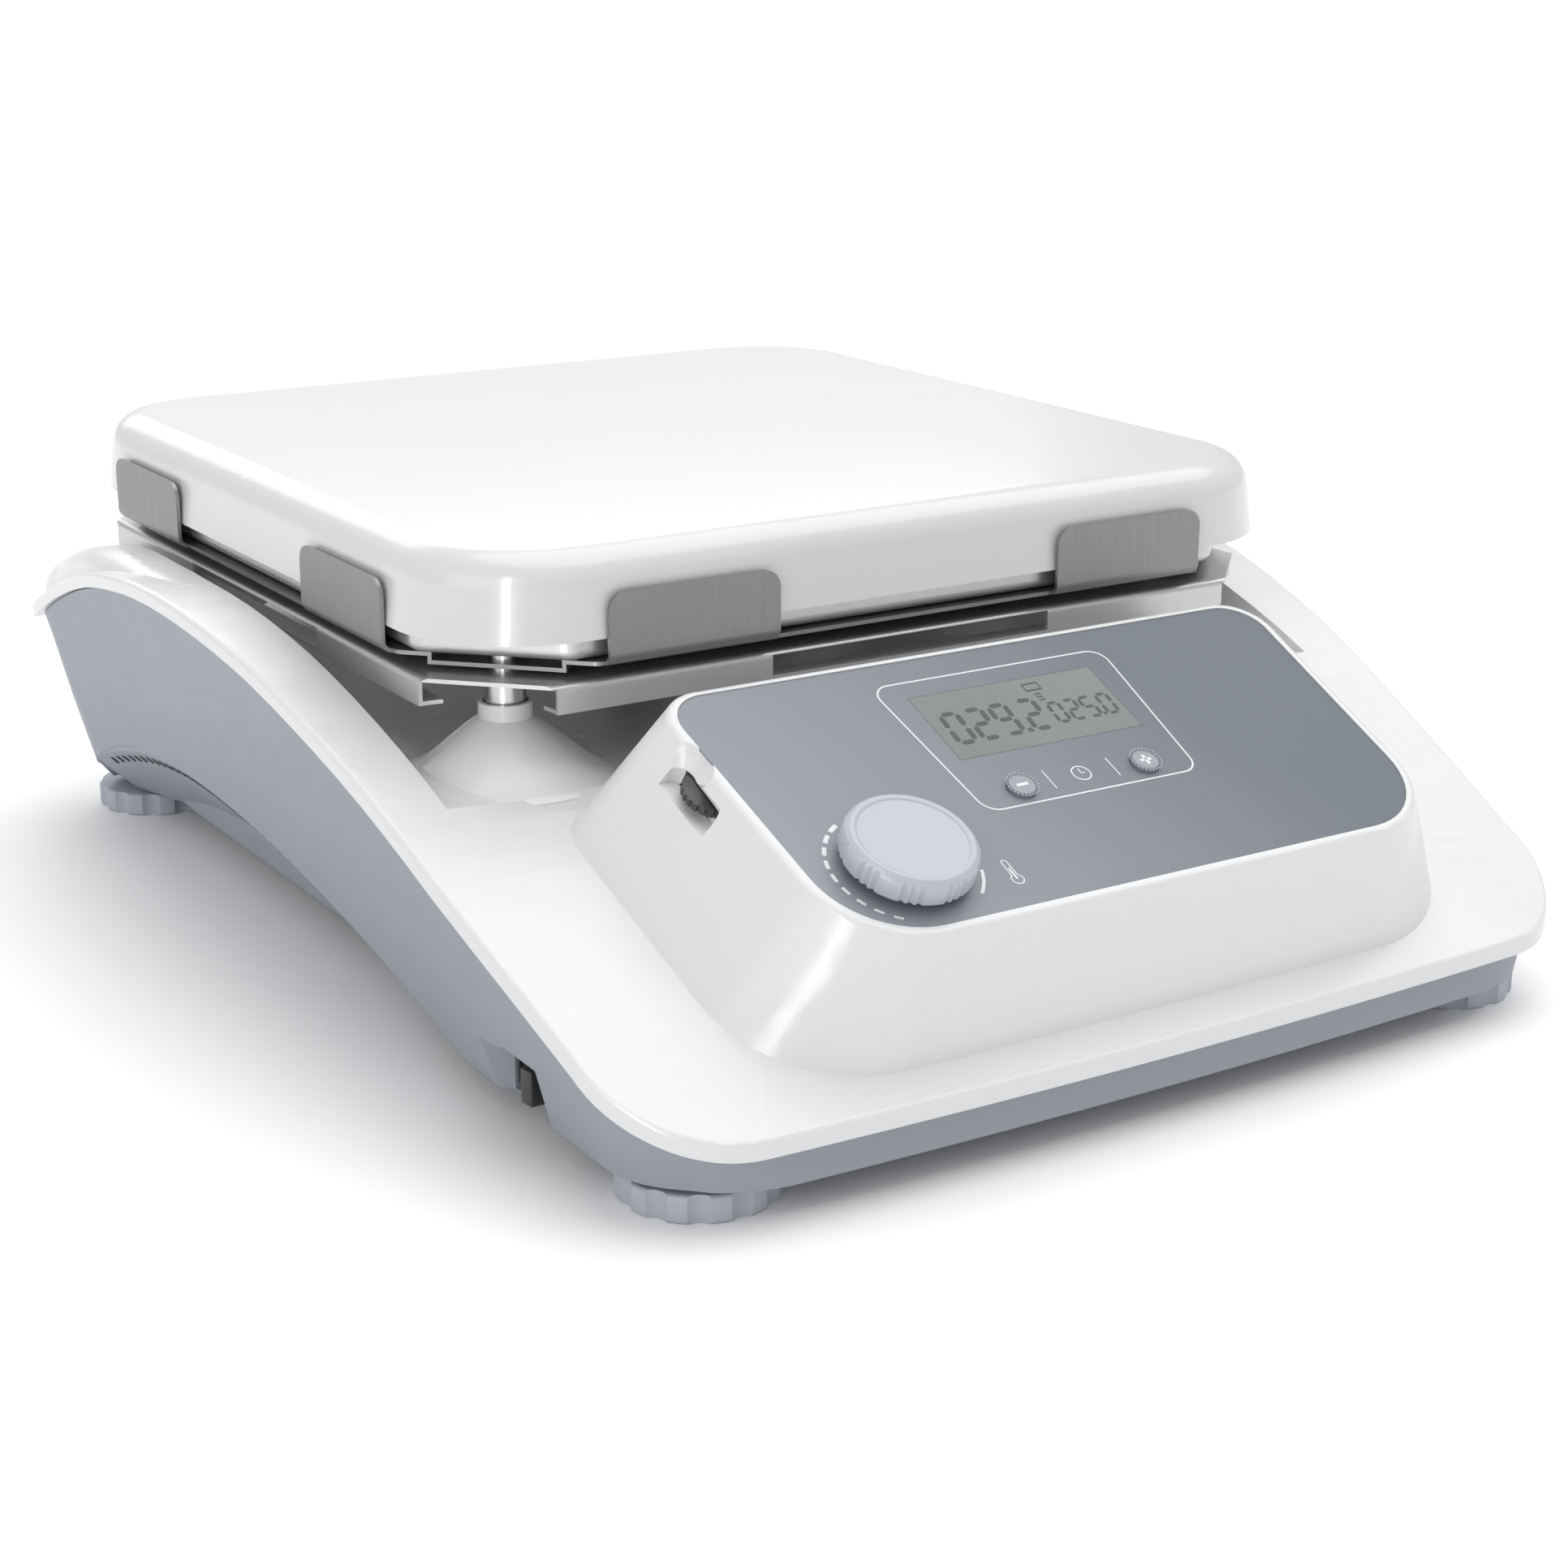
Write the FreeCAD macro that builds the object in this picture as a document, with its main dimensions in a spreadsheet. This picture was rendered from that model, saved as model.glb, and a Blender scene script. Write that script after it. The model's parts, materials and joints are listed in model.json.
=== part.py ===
"""Laboratory hot plate: ceramic-coated square plate on a moulded housing with a sloping control panel.

Millimetres, +Z up. The origin is on the bench under the middle of the housing's outline,
+X to the right of a user who stands in front, +Y away from the user.
"""

import FreeCAD
import Part
import Sketcher
import math
import os
import re

Vector = FreeCAD.Vector

SIZES = {
    # housing outline and the line where cover and base meet
    "body_depth": 374,
    "front_half_width": 143,
    "middle_half_width": 149,
    "rear_half_width": 147,
    "middle_y": 25,
    "front_corner_radius": 33,
    "rear_corner_radius": 35,
    "slope_angle": 23.5,
    "crest_y": 62,
    "crest_height": 88.1,
    "front_sweep_radius": 411,
    "rear_sweep_radius": 197,
    "tail_angle": 29,
    "tail_radius": 60,
    "lip_thickness": 4,
    "lip_overhang": 3,
    "cover_wall": 3,
    "parting_gap": 0.3,
    # crown of the side ribbons towards the rear
    "crown_y": 95,
    "crown_height": 93.2,
    "crown_front_radius": 731,
    "crown_rear_radius": 138,
    "crown_turn": 30.5,
    "crown_tail_radius": 40,
    "crown_tail_turn": 60,
    "crown_inset": 4,
    "crown_edge_radius": 7,
    # recess under the plate
    "recess_half_width": 131,
    "recess_floor": 66,
    "recess_front_y": -96,
    "recess_blend": 22,
    # console and panel
    "panel_front_y": -179.3,
    "panel_front_height": 58,
    "panel_angle": 23.9,
    "panel_length": 84.5,
    "panel_front_half": 83.3,
    "panel_rear_half": 87.2,
    "panel_front_radius": 22,
    "panel_rear_radius": 10,
    "panel_border": 2.2,
    "panel_sink": 0.8,
    "membrane_thickness": 0.5,
    "console_drop": 36,
    "console_front_draft": 0.33,
    "console_side_draft": 0.6,
    "console_foot_radius": 8,
    "console_rim_radius": 1.6,
    # display, knob, buttons
    "lens_width": 54,
    "lens_height": 23.6,
    "lens_v": 59.7,
    "lens_thickness": 0.5,
    "button_u": 18.2,
    "button_v": 35.35,
    "button_radius": 3.5,
    "button_proud": 0.9,
    "button_travel": 0.5,
    "button_clearance": 0.2,
    "knob_u": -60.9,
    "knob_v": 19.5,
    "knob_radius": 15.6,
    "knob_height": 6.4,
    "knob_lift": 1.6,
    "shaft_radius": 3,
    "running_clearance": 0.05,
    "board_depth": 9,
    "board_length": 148,
    "board_width": 66,
    "board_low": 9,
    "board_post_u": 68,
    "board_post_low": 32,
    "board_post_high": 69,
    "board_thickness": 1.6,
    "wheel_radius": 8,
    "wheel_thickness": 1.8,
    "wheel_v": 58.7,
    "wheel_depth": 6.5,
    "wheel_u": -85.4,
    # plate and what lies under it
    "plate_y": 46.5,
    "plate_side": 254,
    "plate_bottom": 102.4,
    "plate_thickness": 20.8,
    "plate_corner_radius": 33.5,
    "plate_draft": 5,
    "plate_edge_radius": 9,
    "plate_skin": 14.8,
    "heater_side": 196,
    "heater_thickness": 3,
    "sheet_thickness": 1,
    "pan_side": 248,
    "pan_bottom": 97,
    "pan_height": 4.8,
    "pan_corner_sum": 221,
    "bracket_height": 95.6,
    "bracket_side": 257,
    "bracket_neck": 236,
    "bracket_corner_sum": 216,
    "bracket_joggle": 2,
    "tab_height": 17.9,
    "tab_width": 47,
    "tab_offset": 65.5,
    "tab_bend": 3,
    "tab_corner": 4.5,
    "shield_side": 250,
    "shield_bottom": 85.2,
    "shield_top": 92.3,
    "shield_lip": 6,
    "shield_corner_sum": 227,
    "shield_window": 84,
    "post_spacing": 208,
    "post_boss_radius": 6.6,
    "post_boss_top": 84.5,
    "post_mound_radius": 26,
    "post_mound_height": 7,
    "post_screw_radius": 2.5,
    "spacer_radius": 5,
    "spacer_sink": 5,
    # base
    "base_bottom": 8,
    "base_wall": 2.8,
    "base_floor": 2.5,
    "base_lean": 0.33,
    "arch_front_y": -112,
    "arch_front_height": 10,
    "arch_rear_y": 95,
    "arch_rear_height": 27.3,
    "arch_end_y": 171,
    "arch_inner_half": 116,
    "pillar_x": 108,
    "pillar_front_y": -136,
    "pillar_middle_y": -20,
    "pillar_rear_y": 112,
    "pillar_radius": 5,
    "pillar_join": 24,
    # feet
    "foot_x": 111.1,
    "foot_front_y": -157.3,
    "foot_rear_y": 164.9,
    "foot_radius": 18.4,
    "foot_height": 6.6,
    "foot_lobes": 12,
    "stud_radius": 4,
    # power switch in the left wall
    "switch_y": -116,
    "switch_height": 15.4,
    "switch_face_x": -126.5,
    "switch_long": 21,
    "switch_tall": 11,
    "switch_depth": 16,
    # mains inlet in the rear wall
    "inlet_x": -62,
    "inlet_z": 31,
    "inlet_width": 30,
    "inlet_tall": 32,
    "socket_rise": 5.5,
    # heater leads and their sleeve
    "lead_radius": 1.8,
    "lead_x": 5,
    "lead_y": 62,
    "sleeve_radius": 9,
    # power board
    "power_board_x": 10,
    "power_board_y": 70,
    "power_board_length": 130,
    "power_board_width": 90,
    "power_board_height": 20,
}

doc = FreeCAD.newDocument("hot_plate")
sheet = doc.addObject("Spreadsheet::Sheet", "sizes")
for row, (alias, number) in enumerate(SIZES.items(), start=1):
    sheet.set("A%d" % row, alias)
    sheet.set("B%d" % row, str(number))
    sheet.setAlias("B%d" % row, alias)
doc.recompute()

nodes = []


def size(alias):
    """Value of a driving dimension, read from the sheet."""
    return float(sheet.get(alias))


def formula(text):
    """Expression text with each driving dimension named in full."""
    return re.sub(r"[a-z][a-z_]*", lambda word: "sizes." + word.group() if word.group() in SIZES
                  else word.group(), str(text))


def bind(item, rules):
    """Bind the properties of an object to expressions."""
    for path, text in rules.items():
        item.setExpression(path, formula(text))
    return item


def node(item, name):
    """Name a finished sub-part and keep it for export."""
    item.Label = name
    nodes.append(item)
    return item


def feature(name, shape):
    """Sub-part whose form is worked out from the sheet below."""
    item = doc.addObject("Part::Feature", name)
    item.Shape = shape
    return node(item, name)


# Wires and faces


def rounded_wire(points, radii):
    """Closed polygon whose corners are rounded, each by its own radius."""
    edges = []
    count = len(points)
    ends = []
    for i in range(count):
        corner = points[i]
        back = (points[i - 1] - corner).normalize()
        ahead = (points[(i + 1) % count] - corner).normalize()
        radius = radii[i]
        if radius <= 0:
            ends.append((corner, None, corner))
            continue
        half = back.getAngle(ahead) / 2
        bisector = (back + ahead).normalize()
        centre = corner + bisector * (radius / math.sin(half))
        reach = radius / math.tan(half)
        ends.append((corner + back * reach, centre - bisector * radius, corner + ahead * reach))
    for i in range(count):
        start, middle, end = ends[i]
        if middle is not None:
            edges.append(Part.Arc(start, middle, end).toShape())
        following = ends[(i + 1) % count][0]
        if end.distanceToPoint(following) > 1e-6:
            edges.append(Part.LineSegment(end, following).toShape())
    return Part.Wire(edges)


def prism(points, radii, direction):
    """Rounded polygon pushed along a direction."""
    return Part.Face(rounded_wire(points, radii)).extrude(direction)


def rectangle(width, depth, z, centre_y=0.0):
    """Corner points of a rectangle about the plate's or the body's middle line."""
    return [Vector(sx * width / 2, centre_y + sy * depth / 2, z)
            for sx, sy in ((-1, -1), (1, -1), (1, 1), (-1, 1))]


def chamfered_square(side, corner_sum, z, centre_y):
    """Corner points of a square whose corners are cut where |x| + |y| reaches corner_sum."""
    half = side / 2
    short = corner_sum - half
    signs = [(-short, -half), (short, -half), (half, -short), (half, short),
             (short, half), (-short, half), (-half, short), (-half, -short)]
    return [Vector(x, centre_y + y, z) for x, y in signs]


def box(x0, x1, y0, y1, z0, z1):
    """Block between two corners."""
    return Part.makeBox(x1 - x0, y1 - y0, z1 - z0, Vector(x0, y0, z0))


def cylinder(x, y, z0, z1, radius):
    """Upright round bar."""
    return Part.makeCylinder(radius, z1 - z0, Vector(x, y, z0))


def ring(x, y, z0, z1, outer, inner):
    """Upright ring."""
    return cylinder(x, y, z0, z1, outer).cut(cylinder(x, y, z0 - 1, z1 + 1, inner))


FAR = 400.0


# Line where cover and base meet, seen from the side

slope = math.radians(size("slope_angle"))
tail = math.radians(size("tail_angle"))
front_y = -size("body_depth") / 2
rear_y = size("body_depth") / 2


def on_arc(centre, radius, turn):
    """Point of an arc in the YZ plane, its turn counted from straight up towards the rear."""
    return Vector(0, centre.y + radius * math.sin(turn), centre.z + radius * math.cos(turn))


def arc(centre, radius, start, end):
    """Arc in the YZ plane between two turns."""
    return Part.Arc(on_arc(centre, radius, start), on_arc(centre, radius, (start + end) / 2),
                    on_arc(centre, radius, end)).toShape()


front_sweep = Vector(0, size("crest_y"), size("crest_height") - size("front_sweep_radius"))
rear_sweep = Vector(0, size("crest_y"), size("crest_height") - size("rear_sweep_radius"))
tail_centre = on_arc(rear_sweep, size("rear_sweep_radius") + size("tail_radius"), tail)


def side_region(edges, first, last):
    """Solid below a side line, as wide as the whole body."""
    low_front = Vector(0, first.y, -FAR)
    low_rear = Vector(0, last.y, -FAR)
    closing = [Part.LineSegment(last, low_rear).toShape(), Part.LineSegment(low_rear, low_front).toShape(),
               Part.LineSegment(low_front, first).toShape()]
    face = Part.Face(Part.Wire(edges + closing))
    face.translate(Vector(-FAR / 2, 0, 0))
    return face.extrude(Vector(FAR, 0, 0))


def below_lip(lift):
    """Everything below the lip line raised by lift, square to itself."""
    front_radius = size("front_sweep_radius") + lift
    rear_radius = size("rear_sweep_radius") + lift
    tail_radius = size("tail_radius") - lift
    join = on_arc(front_sweep, front_radius, -slope)
    first = join - Vector(0, math.cos(slope), math.sin(slope)) * FAR / 2
    end = on_arc(tail_centre, tail_radius, math.pi)
    last = end + Vector(0, FAR / 4, 0)
    edges = [Part.LineSegment(first, join).toShape(),
             arc(front_sweep, front_radius, -slope, 0),
             arc(rear_sweep, rear_radius, 0, tail),
             arc(tail_centre, tail_radius, math.pi + tail, math.pi),
             Part.LineSegment(end, last).toShape()]
    return side_region(edges, first, last)


def lip_height(y):
    """Height of the lip line at a place along the body."""
    join_y = size("crest_y") - size("front_sweep_radius") * math.sin(slope)
    if y < join_y:
        join = on_arc(front_sweep, size("front_sweep_radius"), -slope)
        return join.z + (y - join_y) * math.tan(slope)
    if y < size("crest_y"):
        return front_sweep.z + math.sqrt(size("front_sweep_radius") ** 2 - (y - size("crest_y")) ** 2)
    if y < size("crest_y") + size("rear_sweep_radius") * math.sin(tail):
        return rear_sweep.z + math.sqrt(size("rear_sweep_radius") ** 2 - (y - size("crest_y")) ** 2)
    run = min(y, tail_centre.y) - tail_centre.y
    return tail_centre.z - math.sqrt(size("tail_radius") ** 2 - run ** 2)


def below_crown(lift):
    """Everything below the raised rear part of the ribbons."""
    front = Vector(0, size("crown_y"), size("crown_height") - size("crown_front_radius"))
    rear = Vector(0, size("crown_y"), size("crown_height") - size("crown_rear_radius"))
    turn = math.radians(size("crown_turn"))
    tail_turn = math.radians(size("crown_tail_turn"))
    start = -math.asin(size("crown_y") / size("crown_front_radius"))
    curl = on_arc(rear, size("crown_rear_radius") - size("crown_tail_radius"), turn)
    first = on_arc(front, size("crown_front_radius") + lift, start)
    last = on_arc(curl, size("crown_tail_radius") + lift, tail_turn)
    edges = [arc(front, size("crown_front_radius") + lift, start, 0),
             arc(rear, size("crown_rear_radius") + lift, 0, turn),
             arc(curl, size("crown_tail_radius") + lift, turn, tail_turn)]
    return side_region(edges, first, last)


# Outline of the body in plan


def side_arc(inset):
    """The long side of the outline: three half widths joined by one arc."""
    start = Vector(size("front_half_width") - inset, front_y + size("front_corner_radius"), 0)
    middle = Vector(size("middle_half_width") - inset, size("middle_y"), 0)
    end = Vector(size("rear_half_width") - inset, rear_y - size("rear_corner_radius"), 0)
    return Part.Arc(start, middle, end)


def half_width(y, inset=0.0):
    """Half width of the outline at a place along the body."""
    circle = side_arc(inset).toShape().Curve
    return circle.Center.x + math.sqrt(circle.Radius ** 2 - (y - circle.Center.y) ** 2)


def outline_prism(inset, z0, z1):
    """The body's outline, drawn in by inset, as an upright block with rounded corners."""
    first = front_y + inset
    last = rear_y - inset
    right = [Vector(half_width(y, inset), y, z0) for y in (first, size("middle_y"), last)]
    left = [Vector(-p.x, p.y, p.z) for p in right]
    face = Part.Face(Part.Wire([
        Part.LineSegment(left[0], right[0]).toShape(),
        Part.Arc(right[0], right[1], right[2]).toShape(),
        Part.LineSegment(right[2], left[2]).toShape(),
        Part.Arc(left[2], left[1], left[0]).toShape()]))
    block = face.extrude(Vector(0, 0, z1 - z0))
    for y, radius in ((first, size("front_corner_radius") - inset), (last, size("rear_corner_radius") - inset)):
        corners = [e for e in block.Edges if abs(e.CenterOfMass.y - y) < 0.01
                   and abs(e.BoundBox.ZLength - (z1 - z0)) < 0.01 and e.BoundBox.XLength < 0.01]
        block = block.makeFillet(radius, corners)
    return block


# Panel frame: u to the right, v up the slope, w out of the panel

panel_turn = FreeCAD.Rotation(Vector(1, 0, 0), size("panel_angle"))
panel_place = FreeCAD.Placement(Vector(0, size("panel_front_y"), size("panel_front_height")), panel_turn)


def panel_points(margin, w, front=0.0, side=0.0, rear=0.0):
    """Corners of the panel's trapezoid, grown by a margin and by its own amount on each side."""
    low = size("panel_front_half") + margin + side
    high = size("panel_rear_half") + margin + side
    v0 = -margin - front
    v1 = size("panel_length") + margin + rear
    return [Vector(-low, v0, w), Vector(low, v0, w), Vector(high, v1, w), Vector(-high, v1, w)]


def panel_radii(margin, front=0.0, side=0.0):
    """Corner radii that keep an even border round the panel."""
    grown = min(front, side)
    return [size("panel_front_radius") + margin + grown] * 2 + [size("panel_rear_radius") + margin] * 2


def panel_sheet(margin, w0, w1):
    """Flat piece with the panel's outline."""
    return prism(panel_points(margin, w0), panel_radii(margin), Vector(0, 0, w1 - w0))


def console(wall):
    """Wedge that carries the panel, in the body's frame."""
    margin = size("panel_border") - wall
    drop = size("console_drop")
    front = size("console_front_draft") * (drop - wall)
    side = size("console_side_draft") * (drop - wall)
    top = rounded_wire(panel_points(margin, -wall), panel_radii(margin))
    foot = rounded_wire(panel_points(margin, -drop, front, side), panel_radii(margin, front, side))
    solid = Part.makeLoft([foot, top], True, True)
    solid.Placement = panel_place
    return solid


def recess(wall):
    """Hollow under the plate, open to the rear, grown by a wall."""
    half = size("recess_half_width") + wall
    front = size("recess_front_y") - wall
    floor = size("recess_floor") - wall
    blend = size("recess_blend") + wall
    top = size("crown_height") + size("lip_thickness") + wall
    start = Vector(-half, front, floor + blend)
    middle = Vector(-half, front + blend * (1 - math.sqrt(0.5)), floor + blend * (1 - math.sqrt(0.5)))
    end = Vector(-half, front + blend, floor)
    points = [end, Vector(-half, FAR, floor), Vector(-half, FAR, top), Vector(-half, front, top), start]
    edges = [Part.Arc(start, middle, end).toShape()]
    edges += [Part.LineSegment(a, b).toShape() for a, b in zip(points, points[1:])]
    return Part.Face(Part.Wire(edges)).extrude(Vector(2 * half, 0, 0))


def cover_form(wall):
    """Outer form of the cover, or its hollow when a wall is taken off."""
    inset = 2 * wall
    body = outline_prism(inset, 0, FAR / 2).common(below_lip(size("lip_thickness") - wall))
    if wall == 0:
        rim = [e for e in body.Edges if e.CenterOfMass.z > lip_height(e.CenterOfMass.y) + size("lip_thickness") / 2
               and e.Length > 5]
        body = body.makeFillet(size("lip_thickness") * 0.35, rim)
    crown = outline_prism(size("crown_inset") + inset, 0, FAR / 2).common(below_crown(-wall))
    if wall == 0:
        edges = [e for e in crown.Edges if e.CenterOfMass.z > size("recess_floor") - 12
                 and e.BoundBox.ZLength < FAR / 8
                 and (abs(e.CenterOfMass.x) > half_width(e.CenterOfMass.y) - size("rear_corner_radius") / 2)
                 and e.CenterOfMass.y > 1]
        crown = crown.makeFillet(size("crown_edge_radius"), edges)
    wedge = console(wall)
    if wall == 0:
        lid = max(wedge.Faces, key=lambda f: f.CenterOfMass.z)
        wedge = wedge.makeFillet(size("console_rim_radius"), lid.Edges)
    solid = body.fuse(crown).fuse(wedge)
    return solid.cut(recess(wall)).removeSplitter()


posts = [(sx * size("post_spacing") / 2, size("plate_y") + sy * size("post_spacing") / 2)
         for sx in (-1, 1) for sy in (-1, 1)]
feet = {"front_left": (-1, "foot_front_y"), "front_right": (1, "foot_front_y"),
        "rear_left": (-1, "foot_rear_y"), "rear_right": (1, "foot_rear_y")}
pillars = [(sx * size("pillar_x"), size(place)) for sx in (-1, 1)
           for place in ("pillar_front_y", "pillar_middle_y", "pillar_rear_y")]
pillar_radius = size("pillar_radius")
pillar_join = size("pillar_join")
board_posts = [(sx * size("board_post_u"), v) for sx in (-1, 1)
               for v in (size("board_post_low"), size("board_post_high"))]
power_posts = [(size("power_board_x") + sx * (size("power_board_length") / 2 - 5),
                size("power_board_y") + sy * (size("power_board_width") / 2 - 5))
               for sx in (-1, 1) for sy in (-1, 1)]


def make_cover():
    outer = cover_form(0)
    hollow = cover_form(size("cover_wall"))
    tub = box(-size("recess_half_width") - size("cover_wall"), size("recess_half_width") + size("cover_wall"),
              size("recess_front_y") - size("cover_wall"), FAR, size("recess_floor") - size("cover_wall"), FAR / 2)
    cover = outer.cut(hollow).cut(below_lip(0).cut(tub))
    for x, y in posts:
        floor = size("recess_floor")
        mound = Part.makeCone(size("post_mound_radius"), size("post_boss_radius") + 3, size("post_mound_height"),
                              Vector(x, y, floor))
        cover = cover.fuse(mound).fuse(cylinder(x, y, floor - size("cover_wall"), size("post_boss_top"),
                                                size("post_boss_radius")))
    for x, y in pillars:
        top = min(lip_height(y) + size("lip_thickness") / 2, size("recess_floor") - 1)
        cover = cover.fuse(cylinder(x, y, pillar_join, top, pillar_radius))
        cover = cover.cut(cylinder(x, y, 0, pillar_join + 10, 1.5))
    for x, y in posts:
        cover = cover.cut(cylinder(x, y, size("post_boss_top") - 14, FAR, size("post_screw_radius") + 0.1))
        cover = cover.cut(cylinder(x, y, size("post_boss_top") - size("spacer_sink"), FAR,
                                   size("spacer_radius") + 0.5))
    for hole in lead_holes(0, FAR, size("lead_radius") + 0.3):
        cover = cover.cut(hole)
    for u, v in board_posts:
        post = cylinder(u, v, -size("board_depth"), -size("cover_wall") + 1, 3.4)
        post.Placement = panel_place
        pilot = cylinder(u, v, -size("board_depth") - 1, -size("cover_wall") + 0.6, 1.3)
        pilot.Placement = panel_place
        cover = cover.fuse(post).cut(pilot)
    seat = panel_sheet(0.15, -size("panel_sink"), 5)
    window = box(-size("lens_width") / 2, size("lens_width") / 2, size("lens_v") - size("lens_height") / 2,
                 size("lens_v") + size("lens_height") / 2, -10, 5)
    cuts = [seat, window, cylinder(size("knob_u"), size("knob_v"), -10, 5, size("shaft_radius") + 0.8)]
    for side in (-1, 1):
        cuts.append(cylinder(side * size("button_u"), size("button_v"), -10, 5,
                             size("button_radius") + size("button_clearance")))
    scoop_u = -size("panel_rear_half") - 6
    cuts.append(Part.makeSphere(9, Vector(scoop_u - 1.5, size("wheel_v") + 5, 1.5)))
    cuts.append(prism([Vector(scoop_u - 12, size("wheel_v") - 9.5, -size("wheel_depth") - 3.2),
                       Vector(scoop_u + 4.2, size("wheel_v") - 9.5, -size("wheel_depth") - 3.2),
                       Vector(scoop_u + 4.2, size("wheel_v") + 9.5, -size("wheel_depth") - 3.2),
                       Vector(scoop_u - 12, size("wheel_v") + 9.5, -size("wheel_depth") - 3.2)],
                      [0, 3, 3, 0], Vector(0, 0, 6.4)))
    cuts.append(cylinder(size("wheel_u"), size("wheel_v"), -size("wheel_depth") - size("wheel_thickness") / 2 - 0.4,
                         -size("wheel_depth") + size("wheel_thickness") / 2 + 0.4, size("wheel_radius") + 0.5))
    for cut in cuts:
        cut.Placement = panel_place
        cover = cover.cut(cut)
    return feature("top_cover", cover)


def base_block(inset, z0):
    """Base housing's block: its side walls lean out so that they meet the lip all along."""
    first = front_y + size("lip_overhang") + inset
    last = rear_y - size("lip_overhang") - inset
    lean = size("base_lean")
    steps = 12
    span = [first + (last - first) * i / steps for i in range(steps + 1)]
    edge = [Vector(half_width(y, size("lip_overhang") + inset) - lean * lip_height(y), y, 0) for y in span]
    curve = Part.BSplineCurve()
    curve.interpolate(edge)
    reach = size("crown_height") + 5
    low = -60
    face = Part.Face(Part.Wire([Part.LineSegment(Vector(low, first, 0), edge[0]).toShape(), curve.toShape(),
                                Part.LineSegment(edge[-1], Vector(low, last, 0)).toShape(),
                                Part.LineSegment(Vector(low, last, 0), Vector(low, first, 0)).toShape()]))
    right = face.extrude(Vector(lean * reach, 0, reach))
    for y, radius in ((first, size("front_corner_radius") - inset - size("lip_overhang")),
                      (last, size("rear_corner_radius") - inset - size("lip_overhang"))):
        corners = [e for e in right.Edges if abs(e.CenterOfMass.y - y) < 0.01 and e.BoundBox.YLength < 0.01
                   and e.CenterOfMass.x > 60 and e.BoundBox.ZLength > 10]
        right = right.makeFillet(radius, corners)
    left = right.mirror(Vector(0, 0, 0), Vector(1, 0, 0))
    return right.fuse(left).common(box(-FAR, FAR, -FAR, FAR, z0, FAR)).removeSplitter()


def below_arch(lift):
    """Space that the arched sides leave open, raised by lift."""
    start = Vector(0, size("arch_front_y"), size("arch_front_height") + lift)
    crest = Vector(0, size("arch_rear_y"), size("arch_rear_height") + lift)
    end = Vector(0, size("arch_end_y") + lift, size("base_bottom"))
    bend = Vector(0, size("arch_rear_y") + (size("arch_end_y") - size("arch_rear_y")) * 0.62,
                  size("arch_rear_height") - 5 + lift)
    low = -FAR / 4
    edges = [Part.LineSegment(Vector(0, start.y - 30, size("base_bottom") - 2 + lift), start).toShape(),
             Part.LineSegment(start, crest).toShape(), Part.Arc(crest, bend, end).toShape(),
             Part.LineSegment(end, Vector(0, end.y, low)).toShape(),
             Part.LineSegment(Vector(0, end.y, low), Vector(0, start.y - 30, low)).toShape(),
             Part.LineSegment(Vector(0, start.y - 30, low),
                              Vector(0, start.y - 30, size("base_bottom") - 2 + lift)).toShape()]
    face = Part.Face(Part.Wire(edges))
    inner = size("arch_inner_half") - lift
    face.translate(Vector(inner, 0, 0))
    right = face.extrude(Vector(FAR / 4, 0, 0))
    return right.fuse(right.mirror(Vector(0, 0, 0), Vector(1, 0, 0)))


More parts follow.
